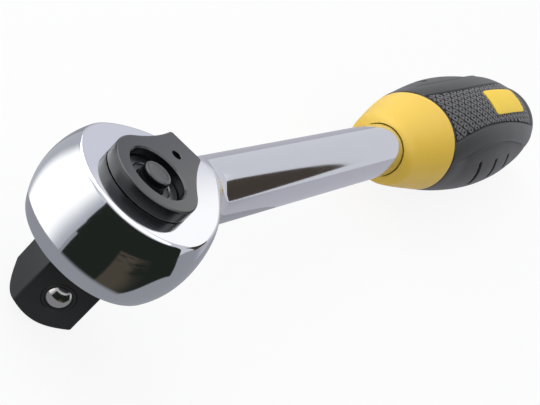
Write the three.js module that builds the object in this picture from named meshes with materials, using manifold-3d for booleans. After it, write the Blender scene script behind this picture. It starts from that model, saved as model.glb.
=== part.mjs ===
// A socket ratchet with a half-inch drive square: a forged head with its shank, a toothed
// drive with a quick-release ball, a reversing lever with its pawl, and a two-material grip.
// Sizes are millimetres. The origin is the centre of the drive's end face, +X runs along the
// handle and +Z runs up the drive axis to the lever.

import * as THREE from 'three';
import { mergeVertices } from 'three/addons/utils/BufferGeometryUtils.js';
import Module from 'manifold-3d';

// Drive square and its tip
const DRIVE_SQUARE = 12.7; // across the flats
const SQUARE_LENGTH = 16;
const SQUARE_EDGE = 0.3; // flat cut along each long edge
const DRIVE_TURN = 41.9; // degrees from the handle to a face of the square, as stored
const TIP_INSET = 0.5; // the end face stays this far inside the flats
const TIP_RISE = 2.4; // the turned tip's height at the corners
const DRIVE_REACH = 17.4; // end face to the head's underside

// Toothed wheel
const TEETH = 60;
const TOOTH_DEPTH = 0.75;
const TOOTH_CREST = 0.2; // share of the pitch that is the flat crest
const SHOULDER = 0.22; // the round journal stands this far outside the square's corners
const GEAR_RIM = 0.5; // from the journal to the tooth roots

// Quick release
const BALL_RADIUS = 3;
const BALL_PROUD = 1.3; // how far the ball stands out of its flat
const BALL_SINK = 0.2; // how far the released ball drops behind its flat
const BALL_HEIGHT = 7.5; // ball centre above the end face
const BALL_LIP = 0.3; // staked rim that keeps the ball in
const BUTTON_RADIUS = 2.9;
const BUTTON_EDGE = 0.5;
const BUTTON_PROUD = 0.15; // above the lever
const BUTTON_TRAVEL = 3;
const BUTTON_FLANGE = 1.1; // the flange's overhang round the button
const FLANGE_THICKNESS = 1.2;
const PIN_RADIUS = 2;
const PIN_STEM_RADIUS = 1.25;
const PIN_LAND = 0.4; // full pin above the ball's trough
const PIN_FOOT = 3.4; // length of the foot below the ball
const PIN_SOCKET = 2.6; // how deep the pin sits in the button
const SPRING_WIRE = 0.5;
const SPRING_TURNS = 5;
const RETAINER_THICKNESS = 0.6;
const RETAINER_GRIP = 0.5; // how deep the retainer sits in its groove
const RETAINER_INSET = 0.4; // from the journal's top to the retainer

// Head forging
const HEAD_HEIGHT = 16.8;
const HEAD_BULGE = 2.7; // the barrel side stands this far outside the flat faces
const HEAD_EDGE = 0.9; // rounding between the side and the flat faces
const RIM_LAND = 1.65; // flat rim round the opening underneath
const PLATE_LEDGE = 1.7; // step that the bottom plate seats on
const ROOF = 2.4;
const SHANK_RADIUS = 7.27;
const SHANK_RISE = 0.7; // shank axis above the head's middle
const NECK_FULL = 15; // the neck leaves the head level, aimed at this place along the handle
const NECK_WAIST = 18.5; // and runs out along the shank, aimed back at this place
const NECK_END = 28; // drive axis to the plain shank
const SHANK_SEAT = 12; // full shank inside the collar
const TANG_RADIUS = 5;
const TANG_FLATS = 8.4;
const TANG_LENGTH = 88;

// Underside closure
const SNAP_INSET = 0.55;
const SNAP_THICKNESS = 1;
const SNAP_WIDTH = 1.6;
const SNAP_GROOVE = 0.6;
const SNAP_OPENING = 5; // gap between the snap ring's ends
const PLATE_THICKNESS = 1.5;
const WASHER_THICKNESS = 0.5;
const SEAL_SECTION = 0.36; // radius of the seal rings' section

// Reversing lever
const LEVER_REST = 16.6; // degrees from the handle, as stored; the other stop mirrors it
const LEVER_DISC = 9.2;
const LEVER_THICKNESS = 2.6;
const LEVER_GAP = 0.3; // between the lever and the head
const LEVER_EDGE = 0.5; // rounding of the lever's outline
const LEVER_TAIL = 16.8; // drive axis to the tail's end
const LEVER_TAIL_WIDTH = 8;
const TAIL_CORNER = 0.7;
const FLANK_ANGLE = 62; // degrees where the flanks leave the disc
const TAIL_TAPER = 8.5; // degrees of the flanks at the tail's end
const DIMPLE_RADIUS = 1.05;
const DIMPLE_AT = 10.6; // drive axis to the dimple
const DIMPLE_LIFT = 0.35; // centre of the dimple's ball above the lever
const WELL_RADIUS = 6.1;
const WELL_DEPTH = 2.1; // lever top to the drive's upper journal
const WELL_EDGE = 0.35;
const HUB_WALL = 1.6;
const HUB_FLAT = 0.9; // depth of the hub's two key flats
const CLIP_THICKNESS = 0.8;
const CLIP_WIDTH = 1.5;
const CLIP_GROOVE = 0.6;
const CLIP_OPENING = 5.1;

// Shift plate and pawl
const SHIFT_THICKNESS = 1.2;
const FINGER_RADIUS = 12.6; // drive axis to the finger
const FINGER_THICKNESS = 1.4;
const FINGER_WIDTH = 1.8;
const FINGER_DROP = 3.2; // how far the finger reaches below its plate
const PAWL_PIVOT = 4; // drive axis to the centre that the pawl slides round
const PAWL_BACK = 11; // radius of the pawl's back about that centre
const PAWL_SPAN = 48; // degrees each side of its middle
const POCKET_PLAY = 3; // degrees of room past the pawl's ends
const PAWL_PLAY = 0.45; // lost motion of the finger in the pawl's notch
const CREST_GAP = 0.15; // the pawl is stored riding this far over the tooth crests
const NOTCH_RADIUS = 0.8; // two detents in the pawl's back
const NOTCH_DEPTH = 0.3;
const LEAF_THICKNESS = 0.35;
const LEAF_LENGTH = 7.6;
const LEAF_BOW = 0.8;
const LEAF_HEIGHT = 4;

// Grip
const GRIP_FRONT = 131; // drive axis to the collar's mouth
const GRIP_TURN = 7; // degrees that the grip sits turned about the shank
const COLLAR_LENGTH = 24;
const BELLY_AT = 66; // mouth to the widest place
const TAIL_AT = 127; // mouth to the start of the rounded end
const GRIP_LENGTH = 135;
const MOUTH_RADIUS = 9.4;
const MOUTH_EDGE = 0.8;
const MOUTH_BORE = 7.92;
const MOUTH_DEPTH = 2.5; // depth of the flared mouth round the shank
const COLLAR_SLOPE = 0.215; // rise of the profile per length at the mouth
const BELLY_RADIUS = 17.2;
const TAIL_RADIUS = 11.6;
const TAIL_SLOPE = 0.19; // fall of the profile per length at the rounded end
const TAIL_FULLNESS = 0.55; // share of the rounded end that keeps that fall
const OVAL = 1.08; // the grip is this much wider and lower than round
const GRIP_RISE = 1.2; // the belly sits this far above the shank axis
const JOINT_WAVE = 2.2; // how far the collar's edge swings fore and aft
const SLEEVE_WALL = 2.2;
const BADGE_AT = 64.5; // mouth to the badge
const BADGE_LENGTH = 40;
const BADGE_WIDTH = 8.6;
const BADGE_CORNER = 1;
const BADGE_DEPTH = 1.2;
const BADGE_PROUD = 0.2;
const SLOTS = 3;
const SLOT_AT = 49; // mouth to the first finger slot
const SLOT_PITCH = 15;
const SLOT_WIDTH = 1.2;
const SLOT_LENGTH = 8.4;
const SLOT_SHRINK = 2.1; // each slot is this much shorter than the one before
const SLOT_DEPTH = 0.9;
const SLOT_START = 28; // degrees above the grip's side where the slots begin

// Clearances
const RUN = 0.1; // round what turns or slides
const SEAT = 0.1; // between faces that rest on each other
const MOULD = 0.2; // round pieces in a turned group
const TOOTH_RUN = 0.25; // round the tooth crests

// Cutters pass what they cut by this much
const PAST = 1;

// Facets
const ROUND = 36; // sides of round pieces
const SMALL = 20; // sides of small round pieces
const MEDIUM = 32; // sides of the button, its pocket and the grip
const BARREL_SIDES = 48; // sides of the head and the drive's tip
const WIRE_SIDES = 5; // sides of the spring's wire and the seals
const COIL_STEPS = 8; // steps of each turn of the spring
const EDGE_STEPS = 2; // steps round a small edge
const CORNER_STEPS = 4; // steps round a corner
const CURVE_STEPS = 8; // steps along a curve
const PAWL_STEPS = 24; // steps along the pawl's back
const PROFILE_STEPS = 6; // steps along each of the grip's three curves

const wasm = await Module();
wasm.setup();
const radians = THREE.MathUtils.degToRad;

// Finishes
const CHROME = { color: 0xdfe1e8, roughness: 0.06, metalness: 1 };
const BLACK_STEEL = { color: 0x2b2b2d, roughness: 0.42, metalness: 0.7 };
const BLACK_LEVER = { color: 0x34363b, roughness: 0.38, metalness: 0.3 };
const BARE_STEEL = { color: 0xb9bbc0, roughness: 0.25, metalness: 1 };
const SPRING_STEEL = { color: 0x8d9097, roughness: 0.3, metalness: 1 };
const SEAL_RUBBER = { color: 0x1b1b1c, roughness: 0.8, metalness: 0 };
const YELLOW = { color: 0xf0c83c, roughness: 0.35, metalness: 0 };
const GRIP_RUBBER = { color: 0x2a2c2d, roughness: 0.75, metalness: 0 };

// A closed solid from a geometry, with its faces turned outwards
function solid(geometry) {
  geometry.deleteAttribute('normal');
  geometry.deleteAttribute('uv');
  const merged = mergeVertices(geometry, 1e-4);
  const points = merged.attributes.position.array;
  const index = merged.index.array;
  const corner = (i) => new THREE.Vector3().fromArray(points, 3 * index[i]);
  const triangles = [];
  let volume = 0;
  for (let i = 0; i < index.length; i += 3) {
    const [a, b, c] = [index[i], index[i + 1], index[i + 2]];
    if (a === b || b === c || c === a) continue;
    triangles.push([a, b, c]);
    volume += corner(i).dot(corner(i + 1).cross(corner(i + 2)));
  }
  const facing = volume < 0 ? triangles.map(([a, b, c]) => [a, c, b]) : triangles;
  return new wasm.Manifold(new wasm.Mesh({
    numProp: 3,
    vertProperties: Float32Array.from(points),
    triVerts: Uint32Array.from(facing.flat()),
  }));
}

// A named mesh of a solid in its own material
function piece(name, body, finish) {
  const { vertProperties, triVerts } = body.getMesh();
  const geometry = new THREE.BufferGeometry();
  geometry.setAttribute('position', new THREE.BufferAttribute(vertProperties, 3));
  geometry.setIndex(new THREE.BufferAttribute(triVerts, 1));
  geometry.computeVertexNormals();
  const mesh = new THREE.Mesh(geometry, new THREE.MeshStandardMaterial(finish));
  mesh.name = name;
  return mesh;
}

// Points of a circular arc, angles in radians
function arc(x, y, radius, from, to, steps) {
  const points = [];
  for (let i = 0; i <= steps; i += 1) {
    const angle = from + ((to - from) * i) / steps;
    points.push([x + radius * Math.cos(angle), y + radius * Math.sin(angle)]);
  }
  return points;
}

// A shape from a list of points
function outline(points) {
  return new THREE.Shape(points.map(([x, y]) => new THREE.Vector2(x, y)));
}

// An outline raised from one height to another
function prism(shape, low, high, curveSegments = CURVE_STEPS) {
  const options = { depth: high - low, bevelEnabled: false, curveSegments };
  return solid(new THREE.ExtrudeGeometry(shape, options).translate(0, 0, low));
}

// A profile of radius and height turned about Z
function revolve(profile, sides = ROUND) {
  const points = profile.map(([radius, height]) => new THREE.Vector2(radius, height));
  return solid(new THREE.LatheGeometry(points, sides).rotateX(Math.PI / 2));
}

// A profile of place along X and radius turned about X
function revolveX(profile, sides = ROUND) {
  return solid(turnedX(profile, sides));
}

function turnedX(profile, sides) {
  const points = profile.map(([x, radius]) => new THREE.Vector2(radius, x));
  return new THREE.LatheGeometry(points, sides).rotateZ(-Math.PI / 2);
}

function disc(radius, low, high, sides = ROUND) {
  return revolve([[0, low], [radius, low], [radius, high], [0, high]], sides);
}

function ring(inner, outer, low, high, sides = ROUND) {
  return revolve([[inner, low], [outer, low], [outer, high], [inner, high], [inner, low]], sides);
}

function block(x, y, z) {
  const size = [x, y, z].map(([low, high]) => high - low);
  const middle = [x, y, z].map(([low, high]) => (low + high) / 2);
  return solid(new THREE.BoxGeometry(...size).translate(...middle));
}

function torus(radius, section, height) {
  return solid(new THREE.TorusGeometry(radius, section, WIRE_SIDES, ROUND).translate(0, 0, height));
}

// A flat ring with an opening between its two ends, facing +X
function openRing(inner, outer, low, high, opening) {
  const gap = block([0, outer + PAST], [-opening / 2, opening / 2], [low - PAST, high + PAST]);
  return ring(inner, outer, low, high).subtract(gap);
}

// Radial sizes of the head's inside, from the square outwards
const halfSquare = DRIVE_SQUARE / 2;
const squareCorner = halfSquare * Math.SQRT2;
const journalRadius = squareCorner + SHOULDER;
const gearRadius = journalRadius + GEAR_RIM + TOOTH_DEPTH;
const gearBore = gearRadius + TOOTH_RUN;
const counterbore = gearBore + PLATE_LEDGE;
const rimRadius = counterbore + RIM_LAND;
const headRadius = rimRadius + HEAD_BULGE;
const hubRadius = WELL_RADIUS + HUB_WALL;
const upperJournal = WELL_RADIUS - RUN;

// Heights, from the underside up to the roof
const headBottom = DRIVE_REACH;
const headTop = headBottom + HEAD_HEIGHT;
const headMiddle = headBottom + HEAD_HEIGHT / 2;
const shankHeight = headMiddle + SHANK_RISE;
const snapLow = headBottom + SNAP_INSET;
const plateLow = snapLow + SNAP_THICKNESS + SEAT;
const plateHigh = plateLow + PLATE_THICKNESS;
const ledge = plateHigh + SEAT;
const gearLow = ledge + WASHER_THICKNESS + SEAT;
const roofLow = headTop - ROOF;
const shiftLow = roofLow - SEAT - SHIFT_THICKNESS;
const clipLow = shiftLow - SEAT - CLIP_THICKNESS;
const hubEnd = clipLow - RUN;
const gearHigh = hubEnd - RUN;
const leverLow = headTop + LEVER_GAP;
const leverHigh = leverLow + LEVER_THICKNESS;
const journalHigh = leverHigh - WELL_DEPTH;

// Heights of the quick release, from the button down
const buttonHigh = leverHigh + BUTTON_PROUD;
const retainerHigh = journalHigh - RETAINER_INSET;
const retainerLow = retainerHigh - RETAINER_THICKNESS;
const flangeHigh = retainerLow - SEAT;
const flangeLow = flangeHigh - FLANGE_THICKNESS;
const springHigh = flangeLow - SEAT;
const coilRise = SPRING_TURNS * 2 * SPRING_WIRE;
const springFloor = flangeLow - BUTTON_TRAVEL - coilRise;
const flangeRadius = BUTTON_RADIUS + BUTTON_FLANGE;
const springPocket = flangeRadius + RUN;

// The ball rolls into a sloped trough in the pin by the same share of each millimetre of travel
const ballOut = halfSquare + BALL_PROUD - BALL_RADIUS;
const ballTravel = BALL_PROUD + BALL_SINK;
const ballRoom = BALL_RADIUS + RUN;
const troughLength = Math.hypot(ballTravel, BUTTON_TRAVEL);
const troughSlope = Math.atan2(BUTTON_TRAVEL, ballTravel);
const footLow = BALL_HEIGHT - PIN_FOOT;
const footHigh = BALL_HEIGHT + BUTTON_TRAVEL + ballRoom + PIN_LAND;
const pinBore = PIN_RADIUS + RUN;
const boreFloor = footLow - BUTTON_TRAVEL - SEAT;

// The pawl turns further than the lever, because its centre is nearer to the finger
const pawlRatio = FINGER_RADIUS / (FINGER_RADIUS - PAWL_PIVOT);
const pawlTurn = radians(LEVER_REST * pawlRatio);
const pawlLow = ledge + SEAT;
const pawlHigh = clipLow - SEAT;
const pocketRadius = PAWL_BACK + RUN;
const pocketAngle = radians(PAWL_SPAN + POCKET_PLAY) + pawlTurn;
const pocketBack = PAWL_PIVOT + pocketRadius;
const leafFront = pocketBack + SEAT;
const leafBack = leafFront + LEAF_BOW + LEAF_THICKNESS;
const leafMiddle = (pawlLow + pawlHigh) / 2;

// Teeth as points on two circles: a narrow crest and a sharp root
function toothed(tip, depth) {
  const points = [];
  const pitch = (2 * Math.PI) / TEETH;
  const rise = (1 - TOOTH_CREST) / 2;
  for (let i = 0; i < TEETH; i += 1) {
    for (const [share, radius] of [[0, tip - depth], [rise, tip], [1 - rise, tip]]) {
      const angle = (i + share) * pitch;
      points.push([radius * Math.cos(angle), radius * Math.sin(angle)]);
    }
  }
  return outline(points);
}

// Head: a barrel with rounded edges, a flared neck, the shank and a flatted tang
function barrel() {
  const half = HEAD_HEIGHT / 2;
  const inside = half - HEAD_EDGE;
  const side = (HEAD_BULGE ** 2 + inside ** 2 - HEAD_EDGE ** 2) / (2 * (HEAD_BULGE - HEAD_EDGE));
  const centre = headRadius - side;
  const meet = Math.atan2(inside, rimRadius - centre);
  const low = arc(rimRadius, headBottom + HEAD_EDGE, HEAD_EDGE, -Math.PI / 2, -meet, EDGE_STEPS);
  const flank = arc(centre, headMiddle, side, -meet, meet, CURVE_STEPS).slice(1, -1);
  const high = arc(rimRadius, headTop - HEAD_EDGE, HEAD_EDGE, meet, Math.PI / 2, EDGE_STEPS);
  return revolve([[0, headBottom], ...low, ...flank, ...high, [0, headTop]], BARREL_SIDES);
}

function tang(gap) {
  const start = GRIP_FRONT + SHANK_SEAT - PAST;
  const end = GRIP_FRONT + SHANK_SEAT + TANG_LENGTH + gap;
  const half = TANG_FLATS / 2 + gap;
  const round = TANG_RADIUS + gap;
  const bar = revolveX([[start, 0], [start, round], [end, round], [end, 0]], SMALL);
  const tall = round + PAST;
  return bar.intersect(block([start - PAST, end + PAST], [-half, half], [-tall, tall]));
}

function neckAndShank() {
  const wide = Math.hypot(rimRadius, headTop - shankHeight);
  const path = new THREE.Path();
  path.moveTo(0, wide);
  path.bezierCurveTo(NECK_FULL, wide, NECK_WAIST, SHANK_RADIUS, NECK_END, SHANK_RADIUS);
  const flare = path.getPoints(CURVE_STEPS + EDGE_STEPS).map(({ x, y }) => [x, y]);
  const end = GRIP_FRONT + SHANK_SEAT;
  return revolveX([[0, 0], ...flare, [end, SHANK_RADIUS], [end, 0]]).add(tang(0));
}

function pocketPlan() {
  return outline([[0, 0], ...arc(PAWL_PIVOT, 0, pocketRadius, -pocketAngle, pocketAngle, PAWL_STEPS)]);
}

function headBody() {
  const [along, across] = [[-PAST, GRIP_FRONT], [-2 * headRadius, 2 * headRadius]];
  const above = block(along, across, [headTop, 2 * headTop]);
  const below = block(along, across, [0, headBottom]);
  const groove = counterbore + SNAP_GROOVE;
  const leafHalf = LEAF_LENGTH / 2 + RUN;
  const leafSlot = [leafMiddle - LEAF_HEIGHT / 2 - RUN, leafMiddle + LEAF_HEIGHT / 2 + RUN];
  const leafSeat = block([pocketBack - 2 * PAST, leafBack + RUN], [-leafHalf, leafHalf], leafSlot);
  return barrel()
    .add(neckAndShank().translate(0, 0, shankHeight))
    .subtract(above)
    .subtract(below)
    .subtract(disc(counterbore, headBottom - PAST, ledge))
    .subtract(disc(groove, snapLow - RUN, snapLow + SNAP_THICKNESS + RUN))
    .subtract(disc(gearBore, ledge - PAST, roofLow))
    .subtract(prism(pocketPlan(), ledge, roofLow))
    .subtract(leafSeat)
    .subtract(disc(hubRadius + RUN, roofLow - PAST, headTop + PAST));
}

// Drive: the square with its turned tip, the journals and the toothed wheel
function squareBar() {
  const half = halfSquare;
  const cut = half - SQUARE_EDGE;
  const corners = [[half, cut], [cut, half], [-cut, half], [-half, cut]];
  const bar = prism(outline([...corners, ...corners.map(([x, y]) => [-x, -y])]), 0, SQUARE_LENGTH);
  const slope = TIP_RISE / (squareCorner - halfSquare + TIP_INSET);
  const face = halfSquare - TIP_INSET;
  const wide = 2 * halfSquare;
  const tip = [[0, 0], [face, 0], [wide, (wide - face) * slope]];
  const high = SQUARE_LENGTH + PAST;
  return bar.intersect(revolve([...tip, [wide, high], [0, high]], BARREL_SIDES));
}

function ballHole() {
  const deep = ballRoom + ballTravel - ballOut;
  const lip = halfSquare - BALL_LIP;
  const mouth = Math.sqrt(BALL_RADIUS ** 2 - (halfSquare - ballOut) ** 2) + RUN;
  const out = halfSquare + PAST;
  const room = [[deep, 0], [deep, ballRoom], [-lip, ballRoom]];
  const opening = [[-halfSquare, mouth], [-out, mouth], [-out, 0]];
  return revolveX([...room, ...opening], SMALL).translate(0, 0, BALL_HEIGHT);
}

function driveGear() {
  const sealHeight = (plateLow + plateHigh) / 2;
  const sealFloor = journalRadius - 2 * SEAL_SECTION;
  const sealHalf = SEAL_SECTION + RUN;
  const retainerGroove = springPocket + RETAINER_GRIP;
  return squareBar()
    .add(disc(journalRadius, SQUARE_LENGTH, gearLow + PAST))
    .add(prism(toothed(gearRadius, TOOTH_DEPTH), gearLow, gearHigh))
    .add(disc(upperJournal, gearHigh - PAST, journalHigh))
    .subtract(ring(sealFloor, journalRadius + PAST, sealHeight - sealHalf, sealHeight + sealHalf))
    .subtract(disc(pinBore, boreFloor, journalHigh + PAST, SMALL))
    .subtract(disc(springPocket, springFloor, journalHigh + PAST, MEDIUM))
    .subtract(disc(retainerGroove, retainerLow - RUN, retainerHigh + RUN, MEDIUM))
    .subtract(ballHole());
}

// Quick release: ball, pin with its trough, button, spring and retainer
function detentBall() {
  const ball = new THREE.SphereGeometry(BALL_RADIUS, SMALL, SMALL / 2);
  return solid(ball.translate(-ballOut, 0, BALL_HEIGHT));
}

function releasePin() {
  const top = flangeLow + PIN_SOCKET;
  const foot = [[0, footLow], [PIN_RADIUS, footLow], [PIN_RADIUS, footHigh]];
  const stem = [[PIN_STEM_RADIUS, footHigh], [PIN_STEM_RADIUS, top], [0, top]];
  const low = arc(0, 0, ballRoom, Math.PI, Math.PI / 2, CORNER_STEPS);
  const high = arc(troughLength, 0, ballRoom, Math.PI / 2, 0, CORNER_STEPS);
  const trough = revolveX([...low, ...high], MEDIUM)
    .rotate(0, -THREE.MathUtils.radToDeg(troughSlope), 0)
    .translate(-ballOut, 0, BALL_HEIGHT);
  return revolve([...foot, ...stem], SMALL).subtract(trough);
}

function releaseButton() {
  const socket = PIN_STEM_RADIUS + RUN;
  const socketTop = flangeLow + PIN_SOCKET + SEAT;
  const edge = BUTTON_RADIUS - BUTTON_EDGE;
  const crown = arc(edge, buttonHigh - BUTTON_EDGE, BUTTON_EDGE, 0, Math.PI / 2, CORNER_STEPS);
  const flange = [[socket, flangeLow], [flangeRadius, flangeLow], [flangeRadius, flangeHigh]];
  const neck = [[BUTTON_RADIUS, flangeHigh], ...crown, [0, buttonHigh]];
  return revolve([[0, socketTop], [socket, socketTop], ...flange, ...neck], MEDIUM);
}

// One coil for each turn, flat against neither end
class Coil extends THREE.Curve {
  getPoint(t, target = new THREE.Vector3()) {
    const angle = 2 * Math.PI * SPRING_TURNS * t;
    const radius = springPocket - SPRING_WIRE;
    const low = springFloor + SPRING_WIRE;
    const height = low + (springHigh - SPRING_WIRE - low) * t;
    return target.set(radius * Math.cos(angle), radius * Math.sin(angle), height);
  }
}

function releaseSpring() {
  const last = 2 * Math.PI * (1 - 1 / WIRE_SIDES);
  const wire = outline(arc(0, 0, SPRING_WIRE / 2, 0, last, WIRE_SIDES - 1));
  const steps = COIL_STEPS * SPRING_TURNS;
  const options = { steps, extrudePath: new Coil(), bevelEnabled: false };
  return solid(new THREE.ExtrudeGeometry(wire, options));
}

function buttonRetainer() {
  const outer = springPocket + RETAINER_GRIP - RUN;
  return openRing(BUTTON_RADIUS + RUN, outer, retainerLow, retainerHigh, BUTTON_RADIUS);
}

// Lever: a disc drawn out to a tail by two hollow flanks, on a hub that passes the roof
function leverPlan() {
  const leave = radians(FLANK_ANGLE);
  const start = [LEVER_DISC * Math.cos(leave), LEVER_DISC * Math.sin(leave)];
  const half = LEVER_TAIL_WIDTH / 2;
  const taper = Math.tan(radians(TAIL_TAPER));
  const fall = 1 / Math.tan(leave);
  const bend = (start[1] - half + fall * start[0] - taper * LEVER_TAIL) / (fall - taper);
  const hollow = half + taper * (LEVER_TAIL - bend);
  const end = LEVER_TAIL - TAIL_CORNER;
  const flankEnd = half + taper * TAIL_CORNER;
  const shape = new THREE.Shape();
  shape.absarc(0, 0, LEVER_DISC, leave, 2 * Math.PI - leave, false);
  shape.quadraticCurveTo(bend, -hollow, end, -flankEnd);
  shape.quadraticCurveTo(LEVER_TAIL, -half, LEVER_TAIL, -half + TAIL_CORNER);
  shape.lineTo(LEVER_TAIL, half - TAIL_CORNER);
  shape.quadraticCurveTo(LEVER_TAIL, half, end, flankEnd);
  shape.quadraticCurveTo(bend, hollow, start[0], start[1]);
  return shape;
}

function leverPlate() {
  const options = {
    depth: LEVER_THICKNESS - 2 * LEVER_EDGE,
    bevelThickness: LEVER_EDGE,
    bevelSize: LEVER_EDGE,
    bevelOffset: -LEVER_EDGE,
    bevelSegments: EDGE_STEPS,
    curveSegments: CURVE_STEPS,
  };
  const plate = new THREE.ExtrudeGeometry(leverPlan(), options);
  return solid(plate.translate(0, 0, leverLow + LEVER_EDGE));
}

function hubKey(gap) {
  const reach = hubRadius + PAST;
  const half = hubRadius - HUB_FLAT + gap;
  const flats = block([-reach, reach], [-half, half], [hubEnd - PAST, roofLow]);
  return disc(hubRadius + gap, hubEnd, roofLow).intersect(flats);
}

function reversingLever() {
  const clipFloor = hubRadius - CLIP_GROOVE;
  const sealHeight = roofLow + ROOF / 2;
  const sealFloor = hubRadius - 2 * SEAL_SECTION;
  const sealHalf = SEAL_SECTION + RUN;
  const mouth = WELL_RADIUS + WELL_EDGE;
  const [low, high] = [hubEnd - PAST, leverHigh + PAST];
  const bore = [[0, low], [WELL_RADIUS, low], [WELL_RADIUS, leverHigh - WELL_EDGE]];
  const flare = [[mouth, leverHigh], [mouth, high], [0, high]];
  const dimple = new THREE.SphereGeometry(DIMPLE_RADIUS, SMALL, SMALL / 2);
  return leverPlate()
    .add(disc(hubRadius, roofLow, leverLow + LEVER_EDGE))
    .add(hubKey(0))
    .subtract(ring(clipFloor, hubRadius + PAST, clipLow - RUN, clipLow + CLIP_THICKNESS + RUN))
    .subtract(ring(sealFloor, hubRadius + PAST, sealHeight - sealHalf, sealHeight + sealHalf))
    .subtract(revolve([...bore, ...flare]))
    .subtract(solid(dimple.translate(DIMPLE_AT, 0, leverHigh + DIMPLE_LIFT)));
}

// Shift plate: keyed to the hub, with an arm whose finger drops into the pawl's notch
function shiftPlate() {
  const high = shiftLow + SHIFT_THICKNESS;
  const half = FINGER_WIDTH / 2;
  const inner = FINGER_RADIUS - FINGER_THICKNESS / 2;
  const outer = FINGER_RADIUS + FINGER_THICKNESS / 2;
  return disc(hubRadius + CLIP_WIDTH, shiftLow, high)
    .add(block([hubRadius, outer], [-half, half], [shiftLow, high]))
    .add(block([inner, outer], [-half, half], [shiftLow - FINGER_DROP, high]))
    .subtract(hubKey(RUN));
}

function leverClip() {
  const inner = hubRadius - CLIP_GROOVE + RUN;
  return openRing(inner, inner + CLIP_WIDTH, clipLow, clipLow + CLIP_THICKNESS, CLIP_OPENING);
}

// Pawl: a crescent cut by the toothed wheel at each of its two working turns
function pawl() {
  const span = radians(PAWL_SPAN);
  const [low, high] = [pawlLow, pawlHigh];
  const cutter = toothed(gearRadius + CREST_GAP + TOOTH_DEPTH, TOOTH_DEPTH);
  let body = prism(outline([[0, 0], ...arc(0, 0, PAWL_BACK, -span, span, PAWL_STEPS)]), low, high);
  for (const turn of [pawlTurn, -pawlTurn]) {
    const wheel = prism(cutter, low - PAST, high + PAST);
    const centre = [-PAWL_PIVOT * Math.cos(turn), PAWL_PIVOT * Math.sin(turn), 0];
    body = body.subtract(wheel.translate(...centre));
    const away = PAWL_BACK + NOTCH_RADIUS - NOTCH_DEPTH;
    const detent = disc(NOTCH_RADIUS, low - PAST, high + PAST, SMALL);
    body = body.subtract(detent.translate(away * Math.cos(turn), away * Math.sin(turn), 0));
  }
  const middle = FINGER_RADIUS - PAWL_PIVOT;
  const deep = FINGER_THICKNESS / 2 + PAWL_PLAY;
  const wide = FINGER_WIDTH / 2 + PAWL_PLAY;
  const floor = shiftLow - FINGER_DROP - SEAT;
  const notch = block([0, middle + deep], [-wide, wide], [floor, high + PAST]);
  return body.subtract(notch);
}

// Leaf spring: a bowed strip in the back of the pawl's pocket
function pawlSpring() {
  const half = LEAF_LENGTH / 2;
  const ends = leafFront + LEAF_BOW;
  const shape = new THREE.Shape();
  shape.moveTo(ends, -half);
  shape.quadraticCurveTo(leafFront - LEAF_BOW, 0, ends, half);
  shape.lineTo(ends + LEAF_THICKNESS, half);
  shape.quadraticCurveTo(leafFront - LEAF_BOW + LEAF_THICKNESS, 0, ends + LEAF_THICKNESS, -half);
  return prism(shape, leafMiddle - LEAF_HEIGHT / 2, leafMiddle + LEAF_HEIGHT / 2);
}

// Underside: plate, snap ring and thrust washer round the drive's journal
function bottomPlate() {
  return ring(journalRadius + RUN, counterbore - RUN, plateLow, plateHigh);
}

function snapRing() {
  const outer = counterbore + SNAP_GROOVE - RUN;
  return openRing(outer - SNAP_WIDTH, outer, snapLow, snapLow + SNAP_THICKNESS, SNAP_OPENING);
}

function thrustWasher() {
  return ring(journalRadius + RUN, gearBore - RUN, ledge, ledge + WASHER_THICKNESS);
}

// Grip profile from the mouth to the rounded end, as places along X and radii
function gripProfile() {
  const belly = BELLY_AT;
  const fore = belly / 3;
  const aft = (TAIL_AT - belly) / 3;
  const round = GRIP_LENGTH - TAIL_AT;
  const path = new THREE.Path();
  path.moveTo(MOUTH_EDGE, MOUTH_RADIUS);
  const shoulder = MOUTH_RADIUS + COLLAR_SLOPE * fore;
  path.bezierCurveTo(fore, shoulder, belly - fore, BELLY_RADIUS, belly, BELLY_RADIUS);
  const hip = TAIL_RADIUS + TAIL_SLOPE * aft;
  path.bezierCurveTo(belly + aft, BELLY_RADIUS, TAIL_AT - aft, hip, TAIL_AT, TAIL_RADIUS);
  const keep = TAIL_FULLNESS * round;
  const lean = TAIL_RADIUS - TAIL_SLOPE * keep;
  path.bezierCurveTo(TAIL_AT + keep, lean, GRIP_LENGTH, TAIL_RADIUS / 2, GRIP_LENGTH, 0);
  return path.getPoints(PROFILE_STEPS).map(({ x, y }) => [x, y]);
}

// The profile moved inwards by a wall, square to itself
function inward(profile, wall) {
  return profile.map(([x, radius], i) => {
    const before = profile[Math.max(i - 1, 0)];
    const after = profile[Math.min(i + 1, profile.length - 1)];
    if (radius === 0) return [x - wall, 0];
    const run = Math.hypot(after[0] - before[0], after[1] - before[1]);
    const along = wall / run;
    return [x + (after[1] - before[1]) * along, radius - (after[0] - before[0]) * along];
  });
}

// The profile's radius at a place along X
function radiusAt(profile, x) {
  const next = profile.findIndex(([place]) => place >= x);
  const [[x0, r0], [x1, r1]] = [profile[next - 1], profile[next]];
  return r0 + ((r1 - r0) * (x - x0)) / (x1 - x0);
}

// A body of revolution pressed oval, lifted behind the collar and waved at the joint
function moulded(profile) {
  const geometry = turnedX(profile, MEDIUM);
  const place = geometry.attributes.position;
  for (let i = 0; i < place.count; i += 1) {
    const x = place.getX(i);
    const [y, z] = [place.getY(i), place.getZ(i)];
    const radius = Math.hypot(y, z);
    const share = Math.min(Math.max(x / (2 * COLLAR_LENGTH), 0), 1);
    const across = radius > 0 ? (y * y - z * z) / (radius * radius) : 0;
    const wave = JOINT_WAVE * across * Math.sin(Math.PI * share) ** 2;
    const lift = GRIP_RISE * THREE.MathUtils.smoothstep(x, 0, COLLAR_LENGTH);
    place.setXYZ(i, x - wave, y * OVAL, z / OVAL + lift);
  }
  return solid(geometry);
}

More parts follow.
